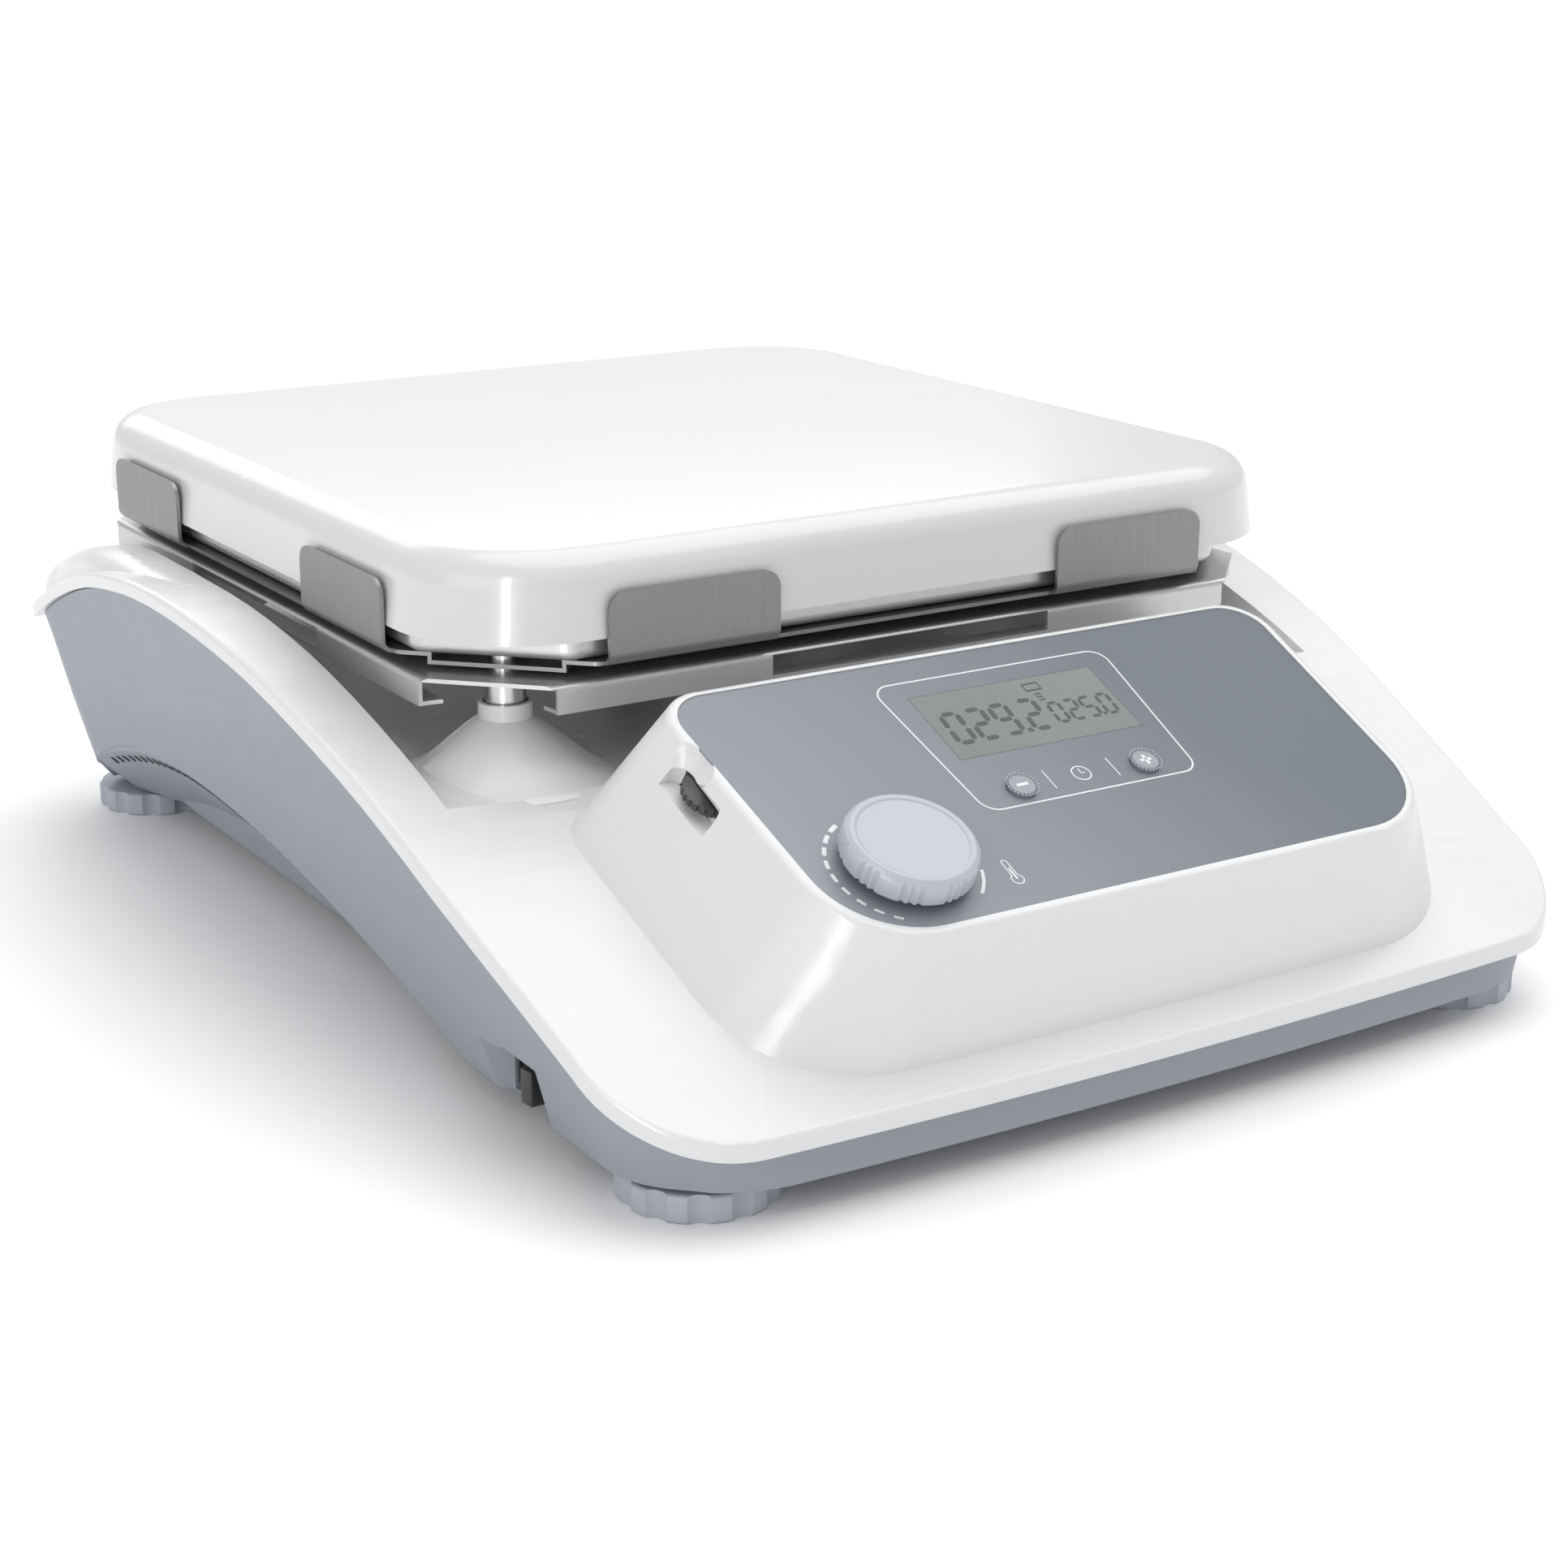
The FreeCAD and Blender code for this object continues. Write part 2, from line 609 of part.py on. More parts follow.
def make_base():
    floor_top = size("base_bottom") + size("base_floor")
    outer = base_block(0, size("base_bottom")).common(below_lip(-size("parting_gap")))
    outer = outer.cut(below_arch(0))
    hollow = base_block(size("base_wall"), floor_top).cut(below_arch(size("base_wall")))
    base = outer.cut(hollow)
    inside = outer
    for x, y in pillars:
        post = cylinder(x, y, size("base_bottom"), pillar_join - 0.1, pillar_radius)
        base = base.fuse(post).cut(cylinder(x, y, 0, pillar_join, 1.8))
        base = base.cut(cylinder(x, y, 0, size("base_bottom") + 6, 3.6))
    for side, place in feet.values():
        x, y = side * size("foot_x"), size(place)
        base = base.fuse(cylinder(x, y, size("base_bottom"), 22, 9).common(inside))
        base = base.cut(cylinder(x, y, size("base_bottom") - 1, 22.5, 6.5))
    for x, y in power_posts:
        base = base.fuse(cylinder(x, y, floor_top - 0.5, size("power_board_height"), 4))
        base = base.cut(cylinder(x, y, size("power_board_height") - 8, 30, 1.3))
    half = size("switch_long") / 2
    tall = size("switch_tall") / 2
    face_x = size("switch_face_x")
    pocket = prism([Vector(-FAR / 2, size("switch_y") - half - 2.5, 0),
                    Vector(face_x, size("switch_y") - half - 2.5, 0),
                    Vector(face_x, size("switch_y") + half, 0),
                    Vector(face_x - 12, size("switch_y") + half + 12, 0),
                    Vector(-FAR / 2, size("switch_y") + half + 12, 0)], [0] * 5,
                   Vector(0, 0, size("switch_height") + tall + 1.5))
    frame = box(face_x - 1, face_x + 2.6, size("switch_y") - half - 5, size("switch_y") + half + 4,
                size("base_bottom"), size("switch_height") + tall + 4)
    shade = prism([Vector(-FAR / 2, size("switch_y") - half - 5, 0),
                   Vector(face_x + 2.6, size("switch_y") - half - 5, 0),
                   Vector(face_x + 2.6, size("switch_y") + half + 2.6, 0),
                   Vector(face_x - 12, size("switch_y") + half + 16.6, 0),
                   Vector(-FAR / 2, size("switch_y") + half + 16.6, 0)], [0] * 5,
                  Vector(0, 0, size("switch_height") + tall + 4))
    base = base.fuse(shade.common(inside)).fuse(frame.common(inside)).cut(pocket)
    hole = box(face_x - 2, face_x + size("switch_depth") + 1, size("switch_y") - half + 1, size("switch_y") + half - 1,
               size("switch_height") - tall + 0.8, size("switch_height") + tall - 0.8)
    base = base.cut(hole)
    wall_y = rear_y - size("lip_overhang")
    base = base.cut(box(size("inlet_x") - size("inlet_width") / 2, size("inlet_x") + size("inlet_width") / 2,
                        wall_y - 6, wall_y + 5, size("inlet_z") - size("inlet_tall") / 2,
                        size("inlet_z") + size("inlet_tall") / 2))
    return feature("base_housing", base.removeSplitter())


def on_panel(name, shape):
    """Sub-part drawn in the panel's own frame."""
    item = feature(name, shape)
    item.Placement = panel_place
    return item


def joined(shapes):
    """One group of separate solids."""
    return Part.makeCompound(shapes)


# Objects bound to the sheet


def body_plane(body, role):
    """Origin plane of a body."""
    return next(f for f in body.Origin.OriginFeatures if f.Role == role)


def sketch_on(body, name, role="XY_Plane", offset=None):
    """Sketch on one of the body's own origin planes."""
    sketch = body.newObject("Sketcher::SketchObject", name)
    sketch.AttachmentSupport = (body_plane(body, role), [""])
    sketch.MapMode = "FlatFace"
    if offset is not None:
        sketch.setExpression("AttachmentOffset.Base.z", formula(offset))
    return sketch


def add_circle(sketch, radius, x=None):
    """Circle on the sketch's horizontal axis, its radius and distance bound to the sheet."""
    at = 0 if x is None else 10
    index = sketch.addGeometry(Part.Circle(Vector(at, 0, 0), Vector(0, 0, 1), 5))
    sketch.addConstraint(Sketcher.Constraint("Radius", index, 5))
    sketch.setExpression("Constraints[%d]" % (sketch.ConstraintCount - 1), formula(radius))
    sketch.addConstraint(Sketcher.Constraint("PointOnObject", index, 3, -1))
    if x is None:
        sketch.addConstraint(Sketcher.Constraint("PointOnObject", index, 3, -2))
    else:
        sketch.addConstraint(Sketcher.Constraint("DistanceX", -1, 1, index, 3, at))
        sketch.setExpression("Constraints[%d]" % (sketch.ConstraintCount - 1), formula(x))
    return index


def add_rectangle(sketch, width, depth):
    """Rectangle about the sketch's centre, its two sides bound to the sheet."""
    corners = [Vector(-5, -5, 0), Vector(5, -5, 0), Vector(5, 5, 0), Vector(-5, 5, 0)]
    sides = [sketch.addGeometry(Part.LineSegment(corners[i], corners[(i + 1) % 4])) for i in range(4)]
    for i in range(4):
        sketch.addConstraint(Sketcher.Constraint("Coincident", sides[i], 2, sides[(i + 1) % 4], 1))
        sketch.addConstraint(Sketcher.Constraint("Vertical" if i % 2 else "Horizontal", sides[i]))
    sketch.addConstraint(Sketcher.Constraint("Symmetric", sides[0], 1, sides[2], 1, -1, 1))
    for index, kind, text in ((sides[0], "DistanceX", width), (sides[1], "DistanceY", depth)):
        sketch.addConstraint(Sketcher.Constraint(kind, index, 1, index, 2, 10))
        sketch.setExpression("Constraints[%d]" % (sketch.ConstraintCount - 1), formula(text))


def pad(body, name, sketch, length, taper=None):
    """Pad upwards from a sketch."""
    item = body.newObject("PartDesign::Pad", name)
    item.Profile = sketch
    item.setExpression("Length", formula(length))
    if taper is not None:
        item.setExpression("TaperAngle", formula(taper))
    return item


def pocket(body, name, sketch, depth, upwards):
    """Pocket from a sketch; the volume has to shrink."""
    doc.recompute()
    before = body.Shape.Volume
    item = body.newObject("PartDesign::Pocket", name)
    item.Profile = sketch
    item.Reversed = upwards
    item.setExpression("Length", formula(depth))
    doc.recompute()
    if item.Shape.Volume > before - 1e-3:
        raise ValueError(name + " cuts nothing")
    return item


def edge_names(shape, wanted):
    """Names of the edges that a test picks."""
    return ["Edge%d" % (i + 1) for i, edge in enumerate(shape.Edges) if wanted(edge)]


def fillet(body, name, base, radius, wanted):
    """Fillet on the edges that a test picks."""
    doc.recompute()
    item = body.newObject("PartDesign::Fillet", name)
    item.Base = (base, edge_names(base.Shape, wanted))
    item.setExpression("Radius", formula(radius))
    return item


def place(item, x, y, z):
    """Bind where an object stands."""
    return bind(item, {".Placement.Base.x": x, ".Placement.Base.y": y, ".Placement.Base.z": z})


def solid_box(name, length, width, height, x, y, z):
    """Block whose sides and low corner are bound to the sheet."""
    item = doc.addObject("Part::Box", name)
    bind(item, {"Length": length, "Width": width, "Height": height})
    return place(item, x, y, z)


def solid_bar(name, radius, height, x, y, z):
    """Upright cylinder bound to the sheet."""
    item = doc.addObject("Part::Cylinder", name)
    bind(item, {"Radius": radius, "Height": height})
    return place(item, x, y, z)


def cut(name, base, tools):
    """Base without each tool in turn."""
    result = base
    for i, tool in enumerate(tools):
        item = doc.addObject("Part::Cut", "%s_cut_%d" % (name, i))
        item.Base = result
        item.Tool = tool
        result = item
    return result


# Plate and what lies under it


def make_plate():
    body = doc.addObject("PartDesign::Body", "plate_body")
    outline = sketch_on(body, "plate_outline")
    add_rectangle(outline, "plate_side", "plate_side")
    slab = pad(body, "plate_slab", outline, "plate_thickness", "-plate_draft")
    corners = fillet(body, "plate_corners", slab, "plate_corner_radius",
                     lambda e: e.BoundBox.ZLength > 5 and e.BoundBox.XLength < 5)
    rim = fillet(body, "plate_rim", corners, "plate_edge_radius",
                 lambda e: e.BoundBox.ZMin > size("plate_thickness") - 0.01)
    doc.recompute()
    body.Tip = rim
    hollow = sketch_on(body, "heater_pocket_outline")
    add_rectangle(hollow, "heater_side + 4", "heater_side + 4")
    pocket(body, "heater_pocket", hollow, "plate_thickness - plate_skin", True)
    place(body, "0", "plate_y", "plate_bottom")
    doc.recompute()
    foot = size("pan_bottom") + size("sheet_thickness")
    shape = body.Shape.copy()
    for x, y in posts:
        shape = shape.fuse(cylinder(x, y, foot, size("plate_bottom") + 2, 4.4))
    for x, y in posts:
        shape = shape.cut(cylinder(x, y, foot - 1, size("plate_bottom") + 10, size("post_screw_radius") + 0.1))
    top = size("plate_bottom") + size("plate_thickness") - size("plate_skin")
    shape = shape.cut(cylinder(0, size("plate_y"), top - 1, top + 4, 3.2))
    return feature("top_plate", shape)


def heater_top():
    """Underside of the plate's skin, where the heating element lies."""
    return "plate_bottom + plate_thickness - plate_skin"


def make_heater():
    element = solid_box("element_slab", "heater_side", "heater_side", "heater_thickness", "-heater_side / 2",
                        "plate_y - heater_side / 2", heater_top() + " - heater_thickness")
    hole = solid_bar("element_hole", "3.2", "20", "0", "plate_y", "plate_bottom - 5")
    node(cut("heating_element", element, [hole]), "heating_element")
    blanket = solid_box("blanket_slab", "heater_side - 2", "heater_side - 2",
                        heater_top() + " - heater_thickness - pan_bottom - sheet_thickness",
                        "1 - heater_side / 2", "plate_y + 1 - heater_side / 2", "pan_bottom + sheet_thickness")
    holes = [solid_bar("blanket_hole", "3.2", "20", "0", "plate_y", "pan_bottom - 2")]
    for i, side in enumerate(("-", "+")):
        holes.append(solid_bar("blanket_lead_%d" % i, "lead_radius + 0.3", "20", "0 %s lead_x" % side, "lead_y",
                               "pan_bottom - 2"))
    node(cut("insulation_blanket", blanket, holes), "insulation_blanket")
    node(solid_bar("temperature_sensor", "3", heater_top() + " + 3 - pan_bottom - sheet_thickness", "0",
                   "plate_y", "pan_bottom + sheet_thickness"), "temperature_sensor")


def lead_holes(z0, z1, radius):
    """Holes for the two heater leads."""
    return [cylinder(side * size("lead_x"), size("lead_y"), z0, z1, radius) for side in (-1, 1)]


def make_pan():
    thick = size("sheet_thickness")
    z0 = size("pan_bottom")
    z1 = z0 + size("pan_height")
    outer = prism(chamfered_square(size("pan_side"), size("pan_corner_sum"), z0, size("plate_y")), [6] * 8,
                  Vector(0, 0, z1 - z0))
    outer = outer.makeFillet(2.5, [e for e in outer.Edges if e.BoundBox.ZMax < z0 + 0.01])
    inner = prism(chamfered_square(size("pan_side") - 2 * thick, size("pan_corner_sum") - 1.4 * thick, z0 + thick,
                                   size("plate_y")), [5] * 8, Vector(0, 0, z1 - z0))
    inner = inner.makeFillet(1.5, [e for e in inner.Edges if e.BoundBox.ZMax < z0 + thick + 0.01])
    pan = outer.cut(inner)
    for x, y in posts:
        pan = pan.cut(cylinder(x, y, z0 - 1, z0 + 2, size("post_screw_radius") + 0.2))
    for hole in lead_holes(z0 - 1, z0 + 2, size("lead_radius") + 0.3):
        pan = pan.cut(hole)
    return feature("insulation_pan", pan)


def around_plate(shape, turn):
    """Copy of a shape turned about the plate's centre."""
    copy = shape.copy()
    copy.rotate(Vector(0, size("plate_y"), 0), Vector(0, 0, 1), turn)
    return copy


def make_bracket():
    thick = size("sheet_thickness")
    z0 = size("bracket_height")
    half = size("bracket_side") / 2
    bend = size("tab_bend")
    y0 = size("plate_y")
    sheet = prism(chamfered_square(2 * (half - bend), size("bracket_corner_sum"), z0, y0), [3] * 8,
                  Vector(0, 0, thick))
    sheet = sheet.cut(box(-half + 60, half - 60, y0 - half + 60, y0 + half - 60, 0, FAR))
    front = y0 - half
    centre = Vector(0, front + bend, z0 + bend)
    turn = math.radians(225)
    outer = Vector(0, centre.y + bend * math.cos(turn), centre.z + bend * math.sin(turn))
    inner = Vector(0, centre.y + (bend - thick) * math.cos(turn), centre.z + (bend - thick) * math.sin(turn))
    bottom = Vector(0, centre.y, z0)
    side = Vector(0, front, centre.z)
    top = Vector(0, front, z0 + size("tab_height"))
    back = Vector(0, thick, 0)
    profile = Part.Face(Part.Wire([
        Part.Arc(bottom, outer, side).toShape(), Part.LineSegment(side, top).toShape(),
        Part.LineSegment(top, top + back).toShape(), Part.LineSegment(top + back, side + back).toShape(),
        Part.Arc(side + back, inner, bottom + Vector(0, 0, thick)).toShape(),
        Part.LineSegment(bottom + Vector(0, 0, thick), bottom).toShape()]))
    for sx in (-1, 1):
        tab = profile.extrude(Vector(size("tab_width"), 0, 0))
        tab.translate(Vector(sx * size("tab_offset") - size("tab_width") / 2, 0, 0))
        corners = [e for e in tab.Edges if e.BoundBox.YLength > thick / 2 and e.BoundBox.ZLength < 0.01
                   and e.BoundBox.XLength < 0.01 and e.BoundBox.ZMin > z0 + size("tab_height") - 0.01]
        tab = tab.makeFillet(size("tab_corner"), corners)
        for turn in (0, 90, 180, 270):
            sheet = sheet.fuse(around_plate(tab, turn))
    reach = size("bracket_corner_sum") / math.sqrt(2)
    drop = size("bracket_joggle")
    strip = Part.makeBox(16, 34, thick + drop, Vector(reach - 14, -17, z0 - drop))
    hollow = Part.makeBox(16, 32, 10, Vector(reach - 13, -16, z0 - drop + thick))
    for turn in (45, 135, 225, 315):
        shapes = []
        for shape in (strip, hollow):
            copy = shape.copy()
            copy.rotate(Vector(0, 0, 0), Vector(0, 0, 1), turn)
            copy.translate(Vector(0, y0, 0))
            shapes.append(copy)
        corner = prism(chamfered_square(2 * (half - bend), size("bracket_corner_sum"), z0 - drop, y0), [3] * 8,
                       Vector(0, 0, 20))
        sheet = sheet.fuse(shapes[0].common(corner)).cut(shapes[1])
    for x, y in posts:
        sheet = sheet.cut(cylinder(x, y, z0 - 10, z0 + 5, size("post_screw_radius") + 0.2))
    return feature("clip_bracket", sheet.removeSplitter())


def make_shield():
    thick = size("sheet_thickness")
    z0 = size("shield_bottom")
    z1 = size("shield_top")
    y0 = size("plate_y")
    half = size("shield_side") / 2
    outer = prism(chamfered_square(size("shield_side"), size("shield_corner_sum"), z0, y0), [0] * 8,
                  Vector(0, 0, z1 - z0))
    long_edges = [e for e in outer.Edges if e.BoundBox.ZMin > z1 - 0.01 and e.Length > half]
    outer = outer.makeFillet(1.8, long_edges)
    inner = prism(chamfered_square(2 * (half - thick), FAR, z0 + thick, y0), [0] * 8, Vector(0, 0, z1 - z0 - 2 * thick))
    mouth = box(-half + size("shield_lip"), half - size("shield_lip"), y0 - half + size("shield_lip"),
                y0 + half - size("shield_lip"), z0 - 1, z0 + 2)
    shield = outer.cut(inner).cut(mouth)
    window = size("shield_window") / 2
    shield = shield.cut(box(-window, window, y0 - half - 5, y0 + half + 5, z0 + thick, z1 - thick))
    shield = shield.cut(box(-half - 5, half + 5, y0 - window, y0 + window, z0 + thick, z1 - thick))
    reach = half - (size("shield_corner_sum") - half)
    for sx in (-1, 1):
        for sy in (-1, 1):
            end = Part.makeCylinder(reach, 12, Vector(sx * (half - 1), y0 + sy * (half - 1), z1 - thick - 12))
            shield = shield.cut(end)
    for x, y in posts:
        shield = shield.cut(cylinder(x, y, z0 - 1, z1 + 1, size("post_screw_radius") + 0.2))
    shield = shield.cut(cylinder(0, size("lead_y"), z1 - 3, z1 + 1, size("sleeve_radius") - 1))
    return feature("heat_shield", shield)


def make_post_parts():
    bore = size("post_screw_radius") + 0.1
    seat = size("post_boss_top") - size("spacer_sink")
    shield_web = size("shield_top") - size("sheet_thickness")
    pad_low = size("bracket_height") - size("bracket_joggle")
    feature("post_spacers", joined([ring(x, y, seat, shield_web, size("spacer_radius"), bore) for x, y in posts]))
    sleeves = [ring(x, y, size("shield_top"), pad_low, 3.6, bore) for x, y in posts]
    sleeves += [ring(x, y, pad_low + size("sheet_thickness"), size("pan_bottom"), 3.6, bore) for x, y in posts]
    feature("post_sleeves", joined(sleeves))
    feature("post_studs", joined([cylinder(x, y, size("post_boss_top") - 13.5, size("plate_bottom") + 9,
                                           size("post_screw_radius")) for x, y in posts]))
    floor = size("recess_floor")
    feature("lead_sleeve", ring(0, size("lead_y"), floor, shield_web, size("sleeve_radius"),
                                size("sleeve_radius") - 1.2))


# Panel


def make_panel():
    sink = size("panel_sink")
    sheet_top = size("membrane_thickness") - sink
    membrane = panel_sheet(0, -sink, sheet_top)
    half_w = size("lens_width") / 2
    half_h = size("lens_height") / 2
    openings = [box(-half_w, half_w, size("lens_v") - half_h, size("lens_v") + half_h, -5, 5),
                cylinder(size("knob_u"), size("knob_v"), -5, 5, size("shaft_radius") + 0.8)]
    openings += [cylinder(side * size("button_u"), size("button_v"), -5, 5,
                          size("button_radius") + size("button_clearance")) for side in (-1, 1)]
    for opening in openings:
        membrane = membrane.cut(opening)
    on_panel("panel_membrane", membrane)
    fit = 0.1
    on_panel("display_lens", box(-half_w + fit, half_w - fit, size("lens_v") - half_h + fit,
                                 size("lens_v") + half_h - fit, -sink, -sink + size("lens_thickness")))
    board_top = -size("board_depth")
    under = -size("cover_wall")
    glass = box(-half_w + 0.4, half_w - 0.4, size("lens_v") - half_h + 0.4, size("lens_v") + half_h - 0.4,
                under - 0.5, -sink)
    frame = box(-half_w - 4, half_w + 4, size("lens_v") - half_h - 4, size("lens_v") + half_h + 4, board_top,
                under - 0.2)
    on_panel("lcd_module", frame.fuse(glass).removeSplitter())
    low = size("board_low")
    board = prism([Vector(-size("board_length") / 2, low, board_top - size("board_thickness")),
                   Vector(size("board_length") / 2, low, board_top - size("board_thickness")),
                   Vector(size("board_length") / 2, low + size("board_width"), board_top - size("board_thickness")),
                   Vector(-size("board_length") / 2, low + size("board_width"),
                          board_top - size("board_thickness"))], [14, 14, 3, 3],
                  Vector(0, 0, size("board_thickness")))
    for u, v in board_posts:
        board = board.cut(cylinder(u, v, board_top - 5, board_top + 5, 1.6))
    on_panel("control_board", board)
    head = board_top - size("board_thickness")
    screws = [cylinder(u, v, head - 1.8, head, 2.6).fuse(cylinder(u, v, head, board_top + 5, 1.2))
              for u, v in board_posts]
    on_panel("control_board_screws", joined(screws))


def make_knob():
    body = doc.addObject("PartDesign::Body", "knob_body")
    rim = sketch_on(body, "knob_outline")
    add_circle(rim, "knob_radius")
    disc = pad(body, "knob_disc", rim, "knob_height")
    edge = fillet(body, "knob_edge", disc, "1.2", lambda e: e.BoundBox.ZMin > size("knob_height") - 0.01)
    doc.recompute()
    body.Tip = edge
    dish = sketch_on(body, "knob_dish_outline", offset="knob_height")
    add_circle(dish, "knob_radius - 2.6")
    hollow = pocket(body, "knob_dish", dish, "0.6", False)
    body.Tip = hollow
    bore = sketch_on(body, "knob_bore_outline")
    add_circle(bore, "shaft_radius")
    body.Tip = pocket(body, "knob_bore", bore, "knob_height - 2", True)
    grip = sketch_on(body, "knob_grip_outline")
    add_circle(grip, "0.55", "knob_radius + 0.1")
    groove = pocket(body, "knob_grip", grip, "knob_height - 0.8", True)
    grips = body.newObject("PartDesign::PolarPattern", "knob_grips")
    grips.Originals = [groove]
    grips.Axis = (body_plane_axis(body), [""])
    grips.Angle = 360
    grips.Occurrences = 24
    body.Tip = grips
    body.Placement = panel_place.multiply(FreeCAD.Placement(
        Vector(size("knob_u"), size("knob_v"), size("knob_lift")), FreeCAD.Rotation()))
    node(body, "temperature_knob")
    deep = -size("cover_wall") - 2.5
    on_panel("knob_shaft", cylinder(size("knob_u"), size("knob_v"), deep, size("knob_lift") + size("knob_height") - 2,
                                    size("shaft_radius")))
    bore = size("shaft_radius") + size("running_clearance")
    case = box(size("knob_u") - 6.5, size("knob_u") + 6.5, size("knob_v") - 6.5, size("knob_v") + 6.5,
               -size("board_depth"), -size("cover_wall") - 0.3)
    on_panel("encoder", case.cut(cylinder(size("knob_u"), size("knob_v"), deep - 0.3, 5, bore)))


def body_plane_axis(body):
    """Vertical axis of a body."""
    return next(f for f in body.Origin.OriginFeatures if f.Role == "Z_Axis")


def make_buttons():
    under = -size("cover_wall") - 0.1
    stem_end = under - 2.2
    for side, name in ((-1, "button_minus"), (1, "button_plus")):
        u = side * size("button_u")
        v = size("button_v")
        cap = cylinder(u, v, under - 0.8, size("button_proud"), size("button_radius"))
        cap = cap.makeFillet(0.5, [e for e in cap.Edges if e.BoundBox.ZMin > size("button_proud") - 0.01])
        flange = cylinder(u, v, under - 0.8, under, size("button_radius") + 1)
        stem = cylinder(u, v, stem_end, under, 1.6)
        on_panel(name, cap.fuse(flange).fuse(stem).removeSplitter())
    top = stem_end - size("button_travel") - 0.1
    keys = [box(side * size("button_u") - 3, side * size("button_u") + 3, size("button_v") - 3,
                size("button_v") + 3, -size("board_depth"), top) for side in (-1, 1)]
    on_panel("key_switches", joined(keys))


def make_limit_wheel():
    u = size("wheel_u")
    v = size("wheel_v")
    middle = -size("wheel_depth")
    half = size("wheel_thickness") / 2
    wheel = cylinder(u, v, middle - half, middle + half, size("wheel_radius"))
    for i in range(24):
        turn = math.radians(15 * i)
        wheel = wheel.cut(cylinder(u + size("wheel_radius") * math.cos(turn),
                                   v + size("wheel_radius") * math.sin(turn), middle - 5, middle + 5, 0.45))
    pin = cylinder(u, v, middle - half - 3, middle + half, 1.5)
    on_panel("limit_wheel", wheel.fuse(pin).removeSplitter())
    low = middle - half - 0.3
    pot = box(u - 2.4, u + 9, v - 5, v + 5, low - 4, low)
    pot = pot.cut(cylinder(u, v, low - 3.2, low + 1, 1.5 + size("running_clearance")))
    on_panel("limit_potentiometer", pot)


# Switch, inlet and feet


def make_switch():
    x = size("switch_face_x")
    y = size("switch_y")
    z = size("switch_height")
    half = size("switch_long") / 2
    tall = size("switch_tall") / 2
    bezel = box(x - 1.6, x, y - half, y + half, z - tall, z + tall)
    neck = box(x, x + size("switch_depth"), y - half + 1.1, y + half - 1.1, z - tall + 0.9, z + tall - 0.9)
    well = Part.makeCylinder(8.6, 2 * tall - 3.4, Vector(x - 1.5, y, z - tall + 1.7))
    well = well.fuse(box(x - 3, x + 3, y - 8.6, y + 8.6, z - tall + 1.7, z + tall - 1.7))
    body = bezel.fuse(neck).cut(well)
    pin_hole = cylinder(x - 0.2, y, z - tall + 1.2, z + tall - 1.2, 1 + size("running_clearance"))
    feature("power_switch", body.cut(pin_hole).removeSplitter())
    high = tall - 2
    reach = 7.6
    centre = Vector(x - 0.2, y, z - high)
    nose = Vector(0, -1, 0)
    out = Vector(-1, 0, 0)
    points = [centre + nose * reach + out * 0.2,
              centre + nose * reach + out * 4.6,
              centre + out * 1.7,
              centre - nose * reach + out * 1.4,
              centre - nose * reach + out * 0.2,
              centre - out * 5.5]
    rocker = prism(points, [0.6, 0.8, 0, 0.4, 0.6, 2.5], Vector(0, 0, 2 * high))
    pin = cylinder(x - 0.2, y, z - tall + 1.3, z + tall - 1.3, 1)
    feature("power_rocker", rocker.fuse(pin).removeSplitter())


def make_inlet():
    wall = rear_y - size("lip_overhang")
    x = size("inlet_x")
    z = size("inlet_z")
    half = size("inlet_width") / 2
    tall = size("inlet_tall") / 2
    fit = 0.2
    flange = box(x - half - 3, x + half + 3, wall, wall + 2.2, z - tall - 3, z + tall + 3)
    flange = flange.makeFillet(3, [e for e in flange.Edges if e.BoundBox.YLength > 2])
    case = box(x - half + fit, x + half - fit, wall - 24, wall, z - tall + fit, z + tall - fit)
    socket_z = z + size("socket_rise")
    socket = prism([Vector(x - 12.4, wall - 17, socket_z - 8.3), Vector(x + 12.4, wall - 17, socket_z - 8.3),
                    Vector(x + 12.4, wall - 17, socket_z + 2.3), Vector(x + 6.4, wall - 17, socket_z + 8.3),
                    Vector(x - 6.4, wall - 17, socket_z + 8.3), Vector(x - 12.4, wall - 17, socket_z + 2.3)],
                   [0.8] * 6, Vector(0, 30, 0))
    drawer_z = z - tall + 5
    slot = box(x - 9, x + 9, wall - 20, wall + 5, drawer_z - 3.5, drawer_z + 3.5)
    inlet = flange.fuse(case).cut(socket).cut(slot)
    feature("mains_inlet", inlet.removeSplitter())
    pins = [box(x + px - 1, x + px + 1, wall - 23.5, wall - 3, socket_z + pz - 2, socket_z + pz + 2)
            for px, pz in ((-7, -2), (7, -2), (0, 2))]
    inlet_item = doc.getObject("mains_inlet")
    shape = inlet_item.Shape
    for pin in pins:
        shape = shape.cut(pin)
    inlet_item.Shape = shape
    feature("inlet_pins", joined(pins))
    drawer = box(x - 9 + fit, x + 9 - fit, wall - 19.5, wall + 2.2, drawer_z - 3.5 + fit, drawer_z + 3.5 - fit)
    drawer = drawer.fuse(box(x - 5, x + 5, wall + 2.2, wall + 2.9, drawer_z - 2.4, drawer_z + 2.4))
    chamber = box(x - 7.5, x + 7.5, wall - 17, wall - 3, drawer_z - 2.5, drawer_z + 10)
    feature("fuse_drawer", drawer.cut(chamber))
    fuse = Part.makeCylinder(2, 14, Vector(x - 7, wall - 10, drawer_z - 0.5), Vector(1, 0, 0))
    feature("fuse", fuse)


